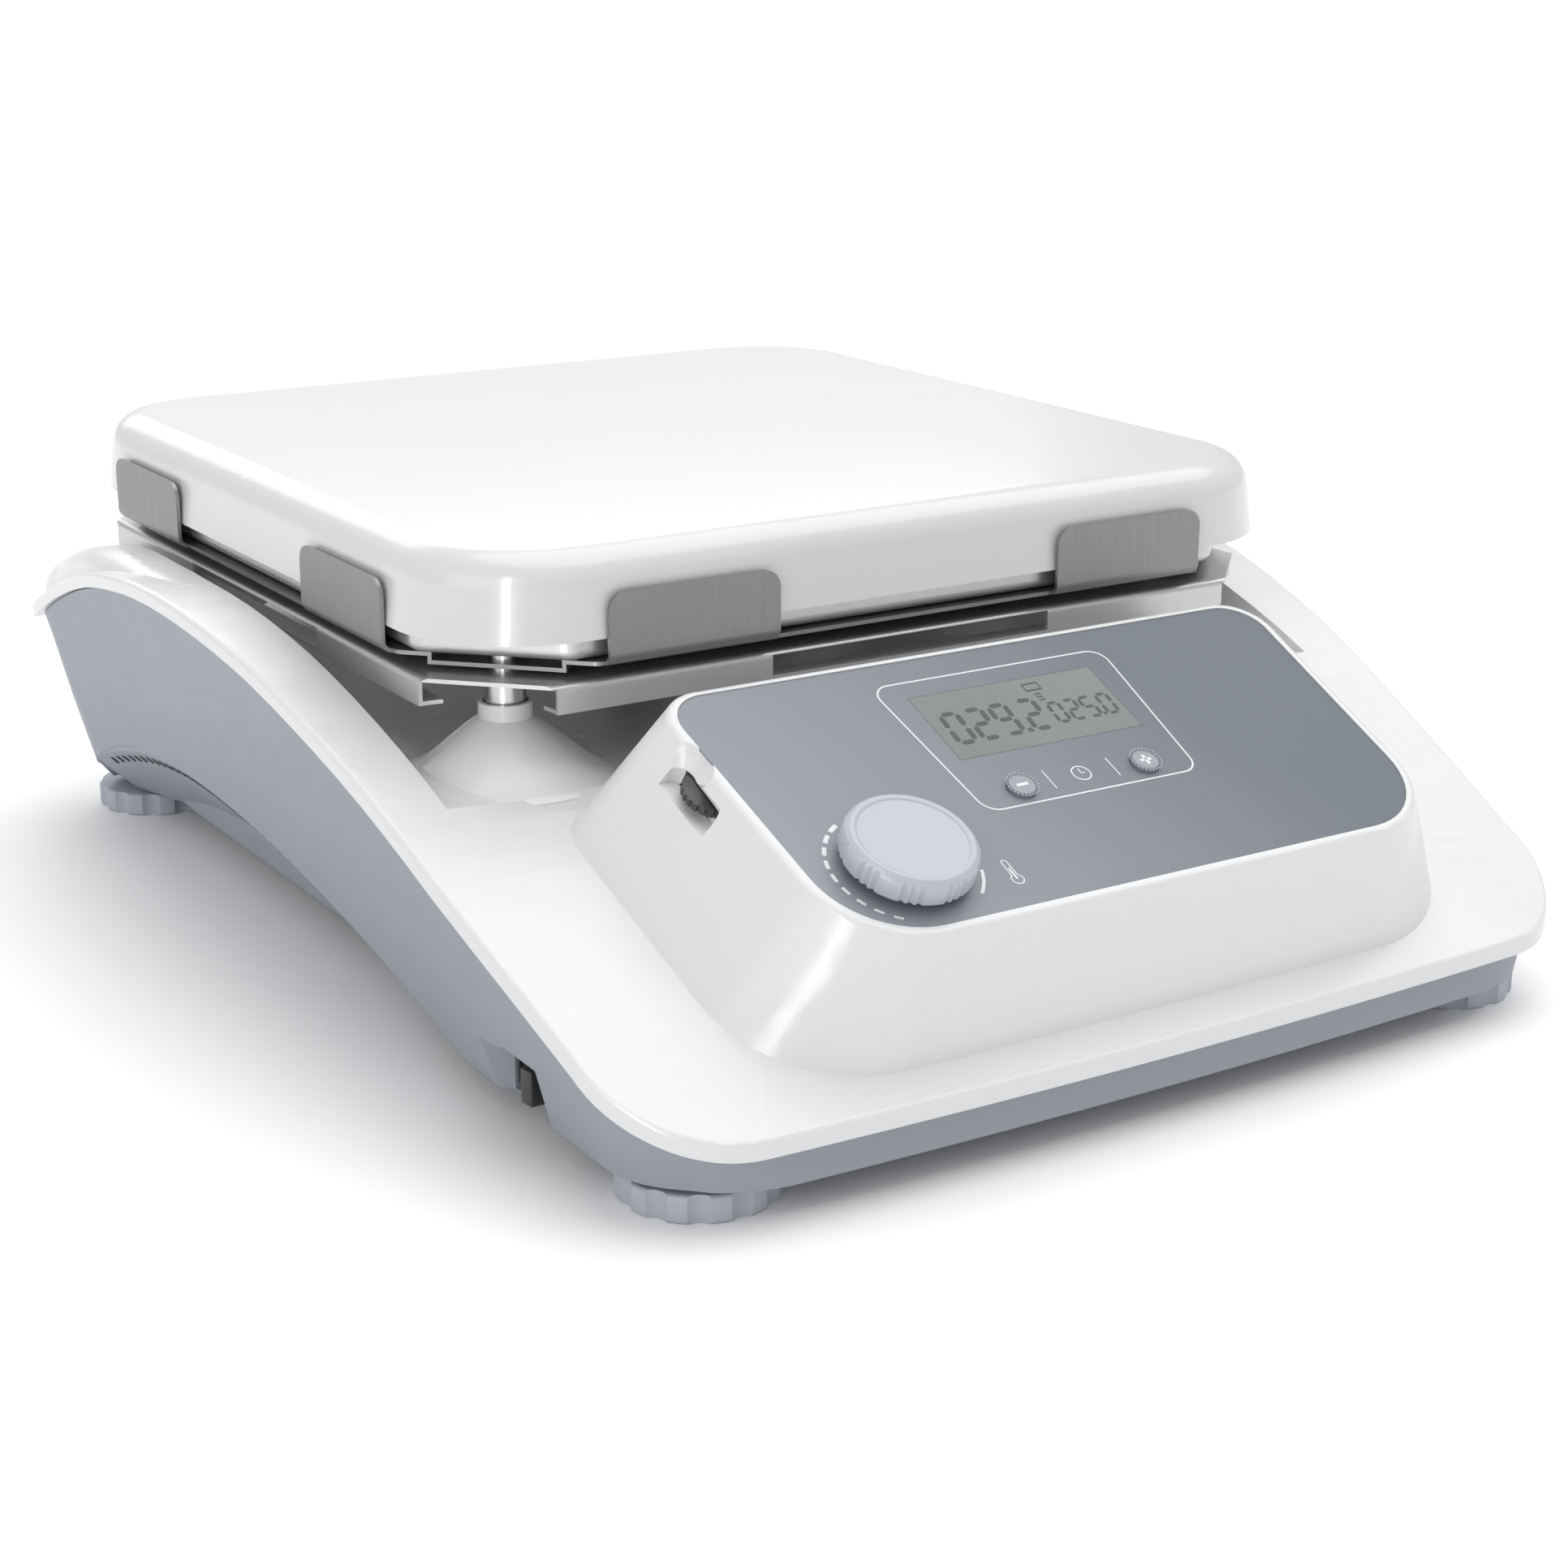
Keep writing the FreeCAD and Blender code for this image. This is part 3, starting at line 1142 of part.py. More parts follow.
def make_feet():
    for name, (side, y) in feet.items():
        body = doc.addObject("PartDesign::Body", "foot_body_" + name)
        outline = sketch_on(body, "foot_outline_" + name)
        add_circle(outline, "foot_radius")
        disc = pad(body, "foot_disc_" + name, outline, "foot_height")
        edge = fillet(body, "foot_edge_" + name, disc, "1", lambda e: True)
        doc.recompute()
        body.Tip = edge
        scallop = sketch_on(body, "foot_scallop_outline_" + name)
        add_circle(scallop, "foot_radius * 0.2", "foot_radius * 1.13")
        groove = pocket(body, "foot_scallop_" + name, scallop, "foot_height", True)
        lobes = body.newObject("PartDesign::PolarPattern", "foot_lobes_" + name)
        lobes.Originals = [groove]
        lobes.Axis = (body_plane_axis(body), [""])
        lobes.Angle = 360
        lobes.setExpression("Occurrences", formula("foot_lobes"))
        body.Tip = lobes
        bore = sketch_on(body, "foot_bore_outline_" + name, offset="2")
        add_circle(bore, "stud_radius")
        body.Tip = pocket(body, "foot_bore_" + name, bore, "foot_height", True)
        place(body, "%d * foot_x" % side, y, "0")
        node(body, "foot_" + name)
        node(solid_bar("stud_" + name, "stud_radius", "18", "%d * foot_x" % side, y, "2"), "foot_stud_" + name)
    feature("foot_inserts", joined([ring(side * size("foot_x"), size(y), size("base_bottom") + 0.2, 21.5, 6.5,
                                         size("stud_radius") + size("running_clearance"))
                                    for side, y in feet.values()]))


# Power board and wiring


def make_power_board():
    z = size("power_board_height")
    x = size("power_board_x")
    y = size("power_board_y")
    length = size("power_board_length")
    width = size("power_board_width")
    top = z + size("board_thickness")
    board = box(x - length / 2, x + length / 2, y - width / 2, y + width / 2, z, top)
    for px, py in power_posts:
        board = board.cut(cylinder(px, py, z - 1, top + 1, 1.6))
    feature("power_board", board)
    feature("power_board_screws", joined([cylinder(px, py, top, top + 1.8, 2.6).fuse(
        cylinder(px, py, z - 7, top, 1.2)) for px, py in power_posts]))
    left = x - length / 2
    sink = box(left + 12, left + 72, y + 15, y + 19, top, top + 28)
    for i in range(7):
        fin = left + 14 + 9 * i
        sink = sink.fuse(box(fin, fin + 1.6, y + 19, y + 34, top, top + 28))
    feature("heatsink", sink)
    feature("triac", box(left + 36, left + 46, y + 10.5, y + 15, top, top + 16))
    feature("relay", box(left + 85, left + 105, y - 14, y + 2, top, top + 16))
    feature("board_transformer", box(left + 92, left + 124, y + 8, y + 36, top, top + 24))
    caps = [cylinder(left + 95, y - 30, top, top + 22, 7), cylinder(left + 112, y - 30, top, top + 18, 6)]
    feature("capacitors", joined(caps))
    feature("terminal_block", box(-16, 16, size("lead_y") - 6, size("lead_y") + 6, top, top + 12))


def run(points, radius, bend):
    """Round wire along straight runs joined by arcs."""
    edges = []
    last = points[0]
    for i in range(1, len(points) - 1):
        corner = points[i]
        back = (points[i - 1] - corner).normalize()
        ahead = (points[i + 1] - corner).normalize()
        half = back.getAngle(ahead) / 2
        reach = bend / math.tan(half)
        bisector = (back + ahead).normalize()
        centre = corner + bisector * (bend / math.sin(half))
        start = corner + back * reach
        end = corner + ahead * reach
        edges.append(Part.LineSegment(last, start).toShape())
        edges.append(Part.Arc(start, centre - bisector * bend, end).toShape())
        last = end
    edges.append(Part.LineSegment(last, points[-1]).toShape())
    path = Part.Wire(edges)
    first = (points[1] - points[0]).normalize()
    section = Part.Wire([Part.makeCircle(radius, points[0], first)])
    return path.makePipeShell([section], True, False)


def make_wiring():
    top = size("power_board_height") + size("board_thickness")
    heater = float(size("plate_bottom") + size("plate_thickness") - size("plate_skin") - size("heater_thickness"))
    lead = size("lead_radius")
    feature("heater_leads", joined([cylinder(side * size("lead_x"), size("lead_y"), top + 12, heater, lead)
                                    for side in (-1, 1)]))
    wall = rear_y - size("lip_overhang")
    z = size("inlet_z")
    block = top + 6
    x = size("inlet_x")
    mains = [run([Vector(x + px, wall - 24, z + 2), Vector(x + px, wall - 40, z + 2),
                  Vector(x + px, size("lead_y") + bend_y, block), Vector(-16, size("lead_y") + bend_y, block)],
                 1.3, 6) for px, bend_y in ((-6, -3), (4, 3))]
    feature("mains_wiring", joined(mains))
    sx = size("switch_face_x") + size("switch_depth")
    switch = [run([Vector(sx, size("switch_y") + dy, size("switch_height")),
                   Vector(sx + 30 - 6 * side, size("switch_y") + dy, size("switch_height")),
                   Vector(-40 + 4 * side, size("lead_y") - 30, block + 14),
                   Vector(-6 + 8 * side, size("lead_y") - 30, block + 14),
                   Vector(-6 + 8 * side, size("lead_y") - 18, block),
                   Vector(-6 + 8 * side, size("lead_y") - 6, block)], 1.3, 4)
              for side, dy in ((-1, -5), (1, 5))]
    feature("switch_wiring", joined(switch))


def make_fasteners():
    base_top = size("base_bottom") + 6
    feature("housing_screws", joined([cylinder(x, y, base_top - 2.6, base_top, 3.2).fuse(
        cylinder(x, y, base_top, pillar_join + 9, 1.4)) for x, y in pillars]))


make_cover()
make_base()
make_plate()
make_heater()
make_pan()
make_bracket()
make_shield()
make_post_parts()
make_panel()
make_knob()
make_buttons()
make_limit_wheel()
make_switch()
make_inlet()
make_feet()
make_power_board()
make_wiring()
make_fasteners()
doc.recompute()

for item in doc.Objects:
    if "Invalid" in item.State or "Error" in item.State:
        raise ValueError("%s failed: %s" % (item.Name, item.State))
for item in nodes:
    if item.Shape.isNull() or not item.Shape.isValid():
        raise ValueError("%s has no valid shape" % item.Label)

os.makedirs("parts", exist_ok=True)
for item in nodes:
    item.Shape.exportStep("parts/%s.step" % item.Label)
    print("%-24s %2d solids %10.0f mm3" % (item.Label, len(item.Shape.Solids), item.Shape.Volume))
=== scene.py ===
# %% [markdown]
# # A laboratory hot plate, dressed for a studio picture
#
# The solid pieces of the hot plate come from a imported model and stay exactly where they are.
# This lesson gives them their surfaces: glossy ABS, enamelled casting, bent stainless sheet,
# printed film, elastomer. It then draws the housing a little finer than the solids have it, and
# adds the small things that only the eye needs, such as the printed marks, the display's digits
# and the vent slots, whose dark is painted shade in small black blocks.

# %% Open the frame
import bpy
import bmesh
import json
import math
from bisect import bisect_right
from mathutils import Matrix, Vector


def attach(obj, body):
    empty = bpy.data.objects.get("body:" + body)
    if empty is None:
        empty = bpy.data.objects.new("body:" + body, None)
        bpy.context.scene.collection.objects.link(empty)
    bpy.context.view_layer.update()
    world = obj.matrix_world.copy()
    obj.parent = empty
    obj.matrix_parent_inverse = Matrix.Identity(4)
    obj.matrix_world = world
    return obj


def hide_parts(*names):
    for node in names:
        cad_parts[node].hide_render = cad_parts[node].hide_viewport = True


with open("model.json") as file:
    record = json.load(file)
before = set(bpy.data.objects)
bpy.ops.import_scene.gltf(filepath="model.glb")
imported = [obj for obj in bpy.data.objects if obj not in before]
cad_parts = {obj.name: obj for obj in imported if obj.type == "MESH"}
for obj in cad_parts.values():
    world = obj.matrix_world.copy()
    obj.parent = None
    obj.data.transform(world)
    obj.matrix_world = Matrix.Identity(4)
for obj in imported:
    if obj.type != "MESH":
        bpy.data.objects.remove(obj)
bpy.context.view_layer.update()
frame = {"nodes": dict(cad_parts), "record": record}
MM = 0.001
print("nodes in the frame:", len(frame["nodes"]))

# %% [markdown]
# ## The camera
#
# The picture was taken from the front left, a little above the plate. A long lens keeps the
# plate's edges nearly parallel. Yaw, pitch and roll turn a camera that first looks along +Y.

# %% Place the camera
CAMERA_AT = Vector((-0.38995, -0.62401, 0.26500))
YAW, PITCH, ROLL = math.radians(32.74), math.radians(-17.79), math.radians(0.22)
FOCAL_PIXELS = 3406.32
PICTURE = 1932
SENSOR = 36.0
LENS_SHIFT = (0.0011, 0.0030)

camera_data = bpy.data.cameras.new("studio_camera")
camera_data.sensor_width = SENSOR
camera_data.lens = FOCAL_PIXELS / PICTURE * SENSOR
camera_data.shift_x, camera_data.shift_y = LENS_SHIFT
camera = bpy.data.objects.new("studio_camera", camera_data)
bpy.context.scene.collection.objects.link(camera)
forward = Vector((math.sin(YAW) * math.cos(PITCH), math.cos(YAW) * math.cos(PITCH),
                  math.sin(PITCH)))
right = Vector((math.cos(YAW), -math.sin(YAW), 0))
up = right.cross(forward)
turned_right = right * math.cos(ROLL) + up * math.sin(ROLL)
turned_up = up * math.cos(ROLL) - right * math.sin(ROLL)
camera.matrix_world = Matrix((
    (turned_right.x, turned_up.x, -forward.x, CAMERA_AT.x),
    (turned_right.y, turned_up.y, -forward.y, CAMERA_AT.y),
    (turned_right.z, turned_up.z, -forward.z, CAMERA_AT.z),
    (0, 0, 0, 1)))
bpy.context.scene.camera = camera
bpy.context.scene.view_settings.view_transform = "Standard"
print("lens in mm:", round(camera_data.lens, 1))

# %% [markdown]
# ## Colours and node trees
#
# Hex colours are how a designer writes a paint. Blender computes in linear light, so one
# function turns them. A second small function adds one node with its settings and its links,
# and a few more name what materials need again and again: noise of a real size, a blend of two
# colours, a spread of numbers and a relief of a real depth.


# %% Helpers for colour and nodes
def linear(hex_colour):
    """Linear RGBA of an sRGB hex colour."""
    parts = [int(hex_colour[i:i + 2], 16) / 255 for i in (1, 3, 5)]
    light = [c / 12.92 if c <= 0.04045 else ((c + 0.055) / 1.055) ** 2.4 for c in parts]
    return tuple(light) + (1.0,)


def darker(tone, share):
    """The same linear colour with a share of its light taken away."""
    return tuple(c * (1 - share) for c in tone[:3]) + (1.0,)


def add(tree, kind, settings=None, links=None):
    """Add a node; settings fill sockets or attributes, links feed its inputs."""
    node = tree.nodes.new(kind)
    for key, value in (settings or {}).items():
        if isinstance(key, int) or key in node.inputs:
            node.inputs[key].default_value = value
        else:
            setattr(node, key, value)
    for key, socket in (links or {}).items():
        tree.links.new(socket, node.inputs[key])
    return node


def new_material(name):
    """Empty node material with its tree."""
    material = bpy.data.materials.new(name)
    material.use_nodes = True
    material.node_tree.nodes.clear()
    return material, material.node_tree


def finish_material(material, tree, shader):
    """Send a shader to the material's output."""
    add(tree, "ShaderNodeOutputMaterial", links={"Surface": shader.outputs[0]})
    return material


def coordinates(tree, stretch=(1, 1, 1), turn=(0, 0, 0)):
    """Object coordinates, turned and stretched."""
    source = add(tree, "ShaderNodeTexCoord")
    return add(tree, "ShaderNodeMapping", {"Scale": stretch, "Rotation": turn},
               {"Vector": source.outputs["Object"]}).outputs[0]


def per_mm(size):
    """Noise scale that gives features of about this size in millimetres."""
    return 1.0 / (size * MM)


def noise(tree, place, size_mm, detail):
    """Noise with features of about this size in millimetres."""
    return add(tree, "ShaderNodeTexNoise", {"Scale": per_mm(size_mm), "Detail": detail},
               {"Vector": place}).outputs[0]


def blend(tree, factor, first, second):
    """Colour between two colours, by a factor."""
    mix = add(tree, "ShaderNodeMix", {"data_type": "RGBA"}, {0: factor})
    mix.inputs[6].default_value = first
    mix.inputs[7].default_value = second
    return mix.outputs[2]


def spread(tree, factor, low, high):
    """Number between two numbers, by a factor."""
    return add(tree, "ShaderNodeMapRange", {"To Min": low, "To Max": high},
               {"Value": factor}).outputs[0]


def relief(tree, height, depth_mm, under=None):
    """Normal bent by a height of a depth in millimetres, over another relief if there is one."""
    links = {"Height": height}
    if under is not None:
        links["Normal"] = under
    return add(tree, "ShaderNodeBump", {"Strength": 1.0, "Distance": depth_mm * MM},
               links).outputs[0]


print("white ABS in linear light:", [round(c, 3) for c in linear("#E1E2E3")[:3]])

# %% [markdown]
# ## Moulded plastics
#
# The cover is glossy white ABS from a polished mould, so it reflects soft lights and shows a
# very faint unevenness. The base comes from a spark-eroded mould: its fine grain breaks up the
# reflection and makes the blue-grey look matt. Both keep a trace of flow variation in colour.

# %% Plastics
FLOW_MM, WEAR_MM = 60, 9


def plastic(name, colour, rough, grain_mm, grain_height, colour_drift=0.03, specular=0.5):
    """Moulded plastic: faint drift of colour, uneven gloss, and a grain of a real size."""
    material, tree = new_material(name)
    place = coordinates(tree)
    tone = linear(colour)
    shade = blend(tree, noise(tree, place, FLOW_MM, 3.0), darker(tone, colour_drift), tone)
    gloss = spread(tree, noise(tree, place, WEAR_MM, 5.0), rough * 0.85, rough * 1.15)
    grain = relief(tree, noise(tree, place, grain_mm, 2.0), grain_height)
    shader = add(tree, "ShaderNodeBsdfPrincipled", {"IOR": 1.53, "Specular IOR Level": specular},
                 {"Base Color": shade, "Roughness": gloss, "Normal": grain})
    return finish_material(material, tree, shader)


white_abs = plastic("white ABS, polished mould", "#E1E2E3", 0.26, 14, 0.003, 0.008)
grey_abs = plastic("blue-grey ABS, fine spark-eroded grain", "#959AA3", 0.5, 0.9, 0.02, 0.03)
knob_abs = plastic("pale grey ABS, satin", "#BBBFC6", 0.34, 0.7, 0.006, 0.02)
button_abs = plastic("grey ABS, glossy key cap", "#8C939B", 0.22, 4, 0.004, 0.02)
foot_rubber = plastic("grey thermoplastic elastomer", "#B4B9C3", 0.55, 0.5, 0.02, 0.05, 0.35)
# The same dark material also draws the vent slots, and there its dark is painted shade.
nylon_and_vent_shade = plastic("dark glass-filled nylon, also painted vent shade", "#38383A", 0.4, 0.6, 0.015, 0.08)
rocker_nylon = plastic("dark nylon, polished key", "#2E2E30", 0.3, 0.6, 0.008, 0.05)
component_resin = plastic("black moulding resin", "#191A1B", 0.4, 0.6, 0.01, 0.1)
print("plastics made:", 8)

# %% [markdown]
# ## The enamelled plate
#
# The top is a casting under a fired white coating. Firing leaves it glassy but not optically
# flat: a slow swell of a few centimetres bends the reflections, and a thin clear layer gives
# the hard highlight along the rounded rim.


# %% Ceramic coating
SWELL_MM, SWELL_DEEP = 38, 0.03
PORE_MM, PORE_DEEP = 1.1, 0.002


def fired_coating():
    """Glassy white coat: a slow swell, fine pores and a thin clear layer."""
    material, tree = new_material("fired white ceramic coating")
    place = coordinates(tree)
    swell = noise(tree, place, SWELL_MM, 2.0)
    pores = noise(tree, place, PORE_MM, 2.0)
    fine = relief(tree, pores, PORE_DEEP, relief(tree, swell, SWELL_DEEP))
    tint = blend(tree, swell, linear("#D7D7D7"), linear("#DBDBDA"))
    shader = add(tree, "ShaderNodeBsdfPrincipled",
                 {"Roughness": 0.3, "IOR": 1.52, "Coat Weight": 0.5, "Coat Roughness": 0.12,
                  "Coat IOR": 1.5},
                 {"Base Color": tint, "Normal": fine})
    return finish_material(material, tree, shader)


coating = fired_coating()
print("coating:", coating.name)

# %% [markdown]
# ## Metals
#
# The clips, pan and shield are bent from stainless sheet with a fine cold-rolled grain. The
# grain is many short scratches in one direction, drawn here as noise that is stretched along
# it. Studs and spacers are turned and zinc plated, so they are brighter and have no grain. The
# thin sheet is a little less than fully metallic, which keeps the narrow gap from going black.
# The clips get a darker copy of the same stainless: that darkness is painted shade.

# %% Metals
CLOUD_MM = 35
ALONG_Z, ALONG_Y, NO_GRAIN = (1, 1, 0.04), (1, 0.05, 1), (1, 1, 1)


def metal(name, colour, rough, stretch, grain_mm, height, drift=0.08, metallic=1.0):
    """Metal with a directional grain: noise stretched along one axis."""
    material, tree = new_material(name)
    lines = noise(tree, coordinates(tree, stretch), grain_mm, 4.0)
    clouds = noise(tree, coordinates(tree), CLOUD_MM, 2.0)
    tone = linear(colour)
    shade = blend(tree, clouds, darker(tone, drift), tone)
    gloss = spread(tree, lines, rough * 0.7, rough * 1.35)
    shader = add(tree, "ShaderNodeBsdfPrincipled", {"Metallic": metallic},
                 {"Base Color": shade, "Roughness": gloss, "Normal": relief(tree, lines, height)})
    return finish_material(material, tree, shader)


stainless = metal("cold-rolled stainless sheet", "#CFCFD0", 0.34, ALONG_Z, 0.9, 0.004, 0.08, 0.8)
# Darker copy of the stainless sheet for the clips: the darkness is painted shade.
stainless_clip_painted_shade = metal("satin stainless clip, darkened as painted shade", "#929293", 0.42, ALONG_Z, 0.7, 0.003,
                   0.03)
plated_steel = metal("zinc-plated turned steel", "#C9CACC", 0.24, NO_GRAIN, 2.5, 0.004)
extruded_aluminium = metal("extruded aluminium", "#C4C6C8", 0.35, ALONG_Y, 0.8, 0.006)
turned_brass = metal("turned brass", "#D2B36C", 0.25, NO_GRAIN, 2.0, 0.003)
print("metals made:", 5)

# %% [markdown]
# ## The printed film on the panel
#
# The panel's overlay is a polyester film, printed on its underside: grey, with a slow fade
# from a lighter lower left to a darker right. Its upper face has a fine velvet texture.
# The fade follows the panel's own two directions, so it is fixed to the film.

# %% The panel's own frame
PANEL_TILT = math.radians(23.9)
PANEL_ORIGIN = Vector((0, -0.1793, 0.058))
PANEL_ACROSS = Vector((1, 0, 0))
PANEL_UP = Vector((0, math.cos(PANEL_TILT), math.sin(PANEL_TILT)))
PANEL_OUT = Vector((0, -math.sin(PANEL_TILT), math.cos(PANEL_TILT)))


def on_panel(u, v, w=0.0):
    """Point of the panel: u across, v up the slope, w out of it, in millimetres."""
    return PANEL_ORIGIN + (PANEL_ACROSS * u + PANEL_UP * v + PANEL_OUT * w) * MM


FILM_TOP = -0.3
print("panel's middle:", [round(c, 4) for c in on_panel(0, 42)])

# %% Printed film, display glass and ink
FADE_ACROSS = {"From Min": -0.085, "From Max": 0.06}
FADE_UPWARD = {"From Min": 0.06, "From Max": 0.10, "To Max": 0.25}


def printed_film():
    """Polyester film: the printed fade follows the object's own width and height."""
    material, tree = new_material("printed polyester film")
    place = coordinates(tree)
    apart = add(tree, "ShaderNodeSeparateXYZ", links={0: place})
    across = add(tree, "ShaderNodeMapRange", FADE_ACROSS, {"Value": apart.outputs[0]})
    upward = add(tree, "ShaderNodeMapRange", FADE_UPWARD, {"Value": apart.outputs[2]})
    total = add(tree, "ShaderNodeMath", {"operation": "ADD", "use_clamp": True},
                {0: across.outputs[0], 1: upward.outputs[0]})
    fade = blend(tree, total.outputs[0], linear("#8C9098"), linear("#5B646E"))
    velvet = relief(tree, noise(tree, place, 0.5, 2.0), 0.006)
    shader = add(tree, "ShaderNodeBsdfPrincipled", {"Roughness": 0.42, "IOR": 1.57},
                 {"Base Color": fade, "Normal": velvet})
    return finish_material(material, tree, shader)


def display_glass():
    """Reflective display: grey green, with a slow haze and a fine speckle."""
    material, tree = new_material("reflective display glass")
    place = coordinates(tree)
    haze = noise(tree, place, 25, 2.0)
    speck = noise(tree, place, 0.35, 1.0)
    cloudy = add(tree, "ShaderNodeMath", {"operation": "MULTIPLY_ADD", 1: 0.3}, {0: speck, 2: haze})
    tone = blend(tree, cloudy.outputs[0], linear("#3F4C49"), linear("#55635E"))
    shader = add(tree, "ShaderNodeBsdfPrincipled",
                 {"Roughness": 0.16, "IOR": 1.5, "Coat Weight": 0.3, "Coat Roughness": 0.03},
                 {"Base Color": tone})
    return finish_material(material, tree, shader)


def ink(name, colour, rough=0.45):
    """Screen-printed ink: flat colour with the faint unevenness of the mesh it came through."""
    material, tree = new_material(name)
    tone = linear(colour)
    mesh = noise(tree, coordinates(tree), 0.4, 2.0)
    shader = add(tree, "ShaderNodeBsdfPrincipled", {"Roughness": rough},
                 {"Base Color": blend(tree, mesh, darker(tone, 0.06), tone)})
    return finish_material(material, tree, shader)


film = printed_film()
lcd_glass = display_glass()
white_ink = ink("white screen-printed ink", "#E8EAEC")
segment_ink = ink("dark liquid-crystal segment", "#1B2321", 0.25)
print("panel materials made:", 4)

# %% Boards, fibre and wire
WAVES_PER_PITCH = 6


def woven(name, dark, light, pitch_mm, rough):
    """Woven or felted sheet: waves of threads, broken up by distortion."""
    material, tree = new_material(name)
    threads = add(tree, "ShaderNodeTexWave",
                  {"Scale": per_mm(pitch_mm * WAVES_PER_PITCH), "Distortion": 2.0, "Detail": 2.0},
                  {"Vector": coordinates(tree)}).outputs[0]
    shader = add(tree, "ShaderNodeBsdfPrincipled", {"Roughness": rough},
                 {"Base Color": blend(tree, threads, linear(dark), linear(light)),
                  "Normal": relief(tree, threads, 0.05)})
    return finish_material(material, tree, shader)


board_epoxy = woven("green glass-epoxy board", "#0E4A2A", "#14603A", 0.6, 0.35)
fibre_blanket = woven("ceramic fibre blanket", "#DAD7CE", "#ECEAE3", 2.0, 0.95)
mica = woven("mica heating sheet", "#6B5239", "#8A6C4C", 3.0, 0.5)
silicone_wire = plastic("silicone wire insulation", "#7A4A26", 0.5, 0.8, 0.01)
glazed_ceramic = plastic("glazed ceramic sleeve", "#EDEBE4", 0.25, 3, 0.01)
print("inner materials made:", 5)

# %% [markdown]
# ## Give every node its material
#
# A node of the frame keeps its mesh; only its material slots change. The table goes by the
# name of the record's slot, because that slot says what each piece is made of.

# %% Dress the nodes
BY_SLOT = {
    "cover_white": white_abs, "base_grey": grey_abs, "ceramic_white": coating,
    "stainless": stainless, "steel": plated_steel, "membrane": film,
    "lens": lcd_glass, "knob_grey": knob_abs,
    "button_grey": button_abs, "foot_grey": foot_rubber, "switch_black": nylon_and_vent_shade,
    "heater": mica,
    "blanket": fibre_blanket, "board_green": board_epoxy, "component_black": component_resin,
    "aluminium": extruded_aluminium, "brass": turned_brass, "wire": silicone_wire,
    "sleeve_white": glazed_ceramic,
}
for part in frame["record"]["subparts"]:
    node_object = frame["nodes"][part["node"]]
    node_object.data.materials.clear()
    node_object.data.materials.append(BY_SLOT[part["material_slot"]])
# The clips take the darker stainless copy, which is painted shade.
frame["nodes"]["clip_bracket"].data.materials[0] = stainless_clip_painted_shade

# %% [markdown]
# ## The housing's finer outline
#
# The two shells of the housing are drawn a little more exactly than the solids have them. Each
# shell is a copy of its node, cut into narrow stations from front to rear, and every station is
# pushed by a few millimetres: the front corners draw back, the flanks swell, the side walls stand
# steeper and the side arch rises. The tables give the push, and the solid's own wall, at stations
# along the depth. All of this is in millimetres.

# %% Stations and pushes
STATIONS = (-187, -150, -130, -100, -70, -40, -10, 20, 50, 80, 110, 130, 150, 165, 187)
WIDER = (-4, -3.4, -2.3, -0.7, 0.5, 1.5, 2.1, 2.4, 2.6, 2.3, 1.8, 1.3, 0.8, 1.8, 3.4)
HIGHER = (-0.8, -0.5, 0.2, 0.8, 2.4, 3.2, 3.7, 3.2, 2.6, 1.1, 0.7, 0.7, 1.4, 2.2, 4.2)
WALL_HALF = (138, 140.1, 141.3, 142.8, 144, 144.9, 145.5, 145.9, 145.9, 145.7, 145.1, 144.7,
             144, 142, 138)
WALL_TOP = (17, 32.8, 41.5, 54.5, 66, 74.9, 81.4, 85.6, 87.6, 87, 81.9, 75.6, 67, 59.6, 55.5)
FRONT_Y, REAR_Y = STATIONS[0], STATIONS[-1]
BOW_DEEP, BOW_HALF, BOW_END_Y = 4, 125, -150
BOW_FULL_Z, BOW_GONE_Z = 32, 50
REAR_OUT, REAR_OUT_FROM = 4, 150
REAR_RISE_FROM, REAR_RISE_FULL = 162, 186
SWELL_FROM, SWELL_FULL = 112, 142
OLD_LEAN, NEW_LEAN = 0.33, 0.27
LESS_OVERHANG = 1.55
BASE_BOTTOM = 8
ARCH_Y, ARCH_TOP, ARCH_FRONT_RADIUS, ARCH_REAR_RADIUS = 68.25, 36.2, 420, 238
OLD_ARCH_FROM, OLD_ARCH_PEAK, OLD_ARCH_LOW, OLD_ARCH_RISE = -112, 95, 10, 17.3
OLD_ARCH_DROP, OLD_ARCH_REACH = 16, 76


def along(table, y):
    """Value of a station table at a depth."""
    if y <= STATIONS[0]:
        return table[0]
    if y >= STATIONS[-1]:
        return table[-1]
    i = bisect_right(STATIONS, y) - 1
    share = (y - STATIONS[i]) / (STATIONS[i + 1] - STATIONS[i])
    return table[i] + (table[i + 1] - table[i]) * share


def ease(value, low, high):
    """Smooth step from 0 at low to 1 at high."""
    t = min(1, max(0, (value - low) / (high - low)))
    return t * t * (3 - 2 * t)


def depth_push(x, y, z):
    """The front corners draw back, so that the front edge bows, and the rear edge moves out."""
    bow = BOW_DEEP * min(1, abs(x) / BOW_HALF) ** 2
    bow *= (1 - ease(y, FRONT_Y, BOW_END_Y)) * (1 - ease(z, BOW_FULL_Z, BOW_GONE_Z))
    return bow + REAR_OUT * ease(y, REAR_OUT_FROM, REAR_Y)


def shell_push(x, y, z):
    """New place of a point of the cover."""
    side = math.copysign(1, x)
    swell = ease(abs(x), SWELL_FROM, SWELL_FULL)
    rise = max(swell, ease(y, REAR_RISE_FROM, REAR_RISE_FULL))
    return (x + side * along(WIDER, y) * swell, y + depth_push(x, y, z),
            z + along(HIGHER, y) * rise)


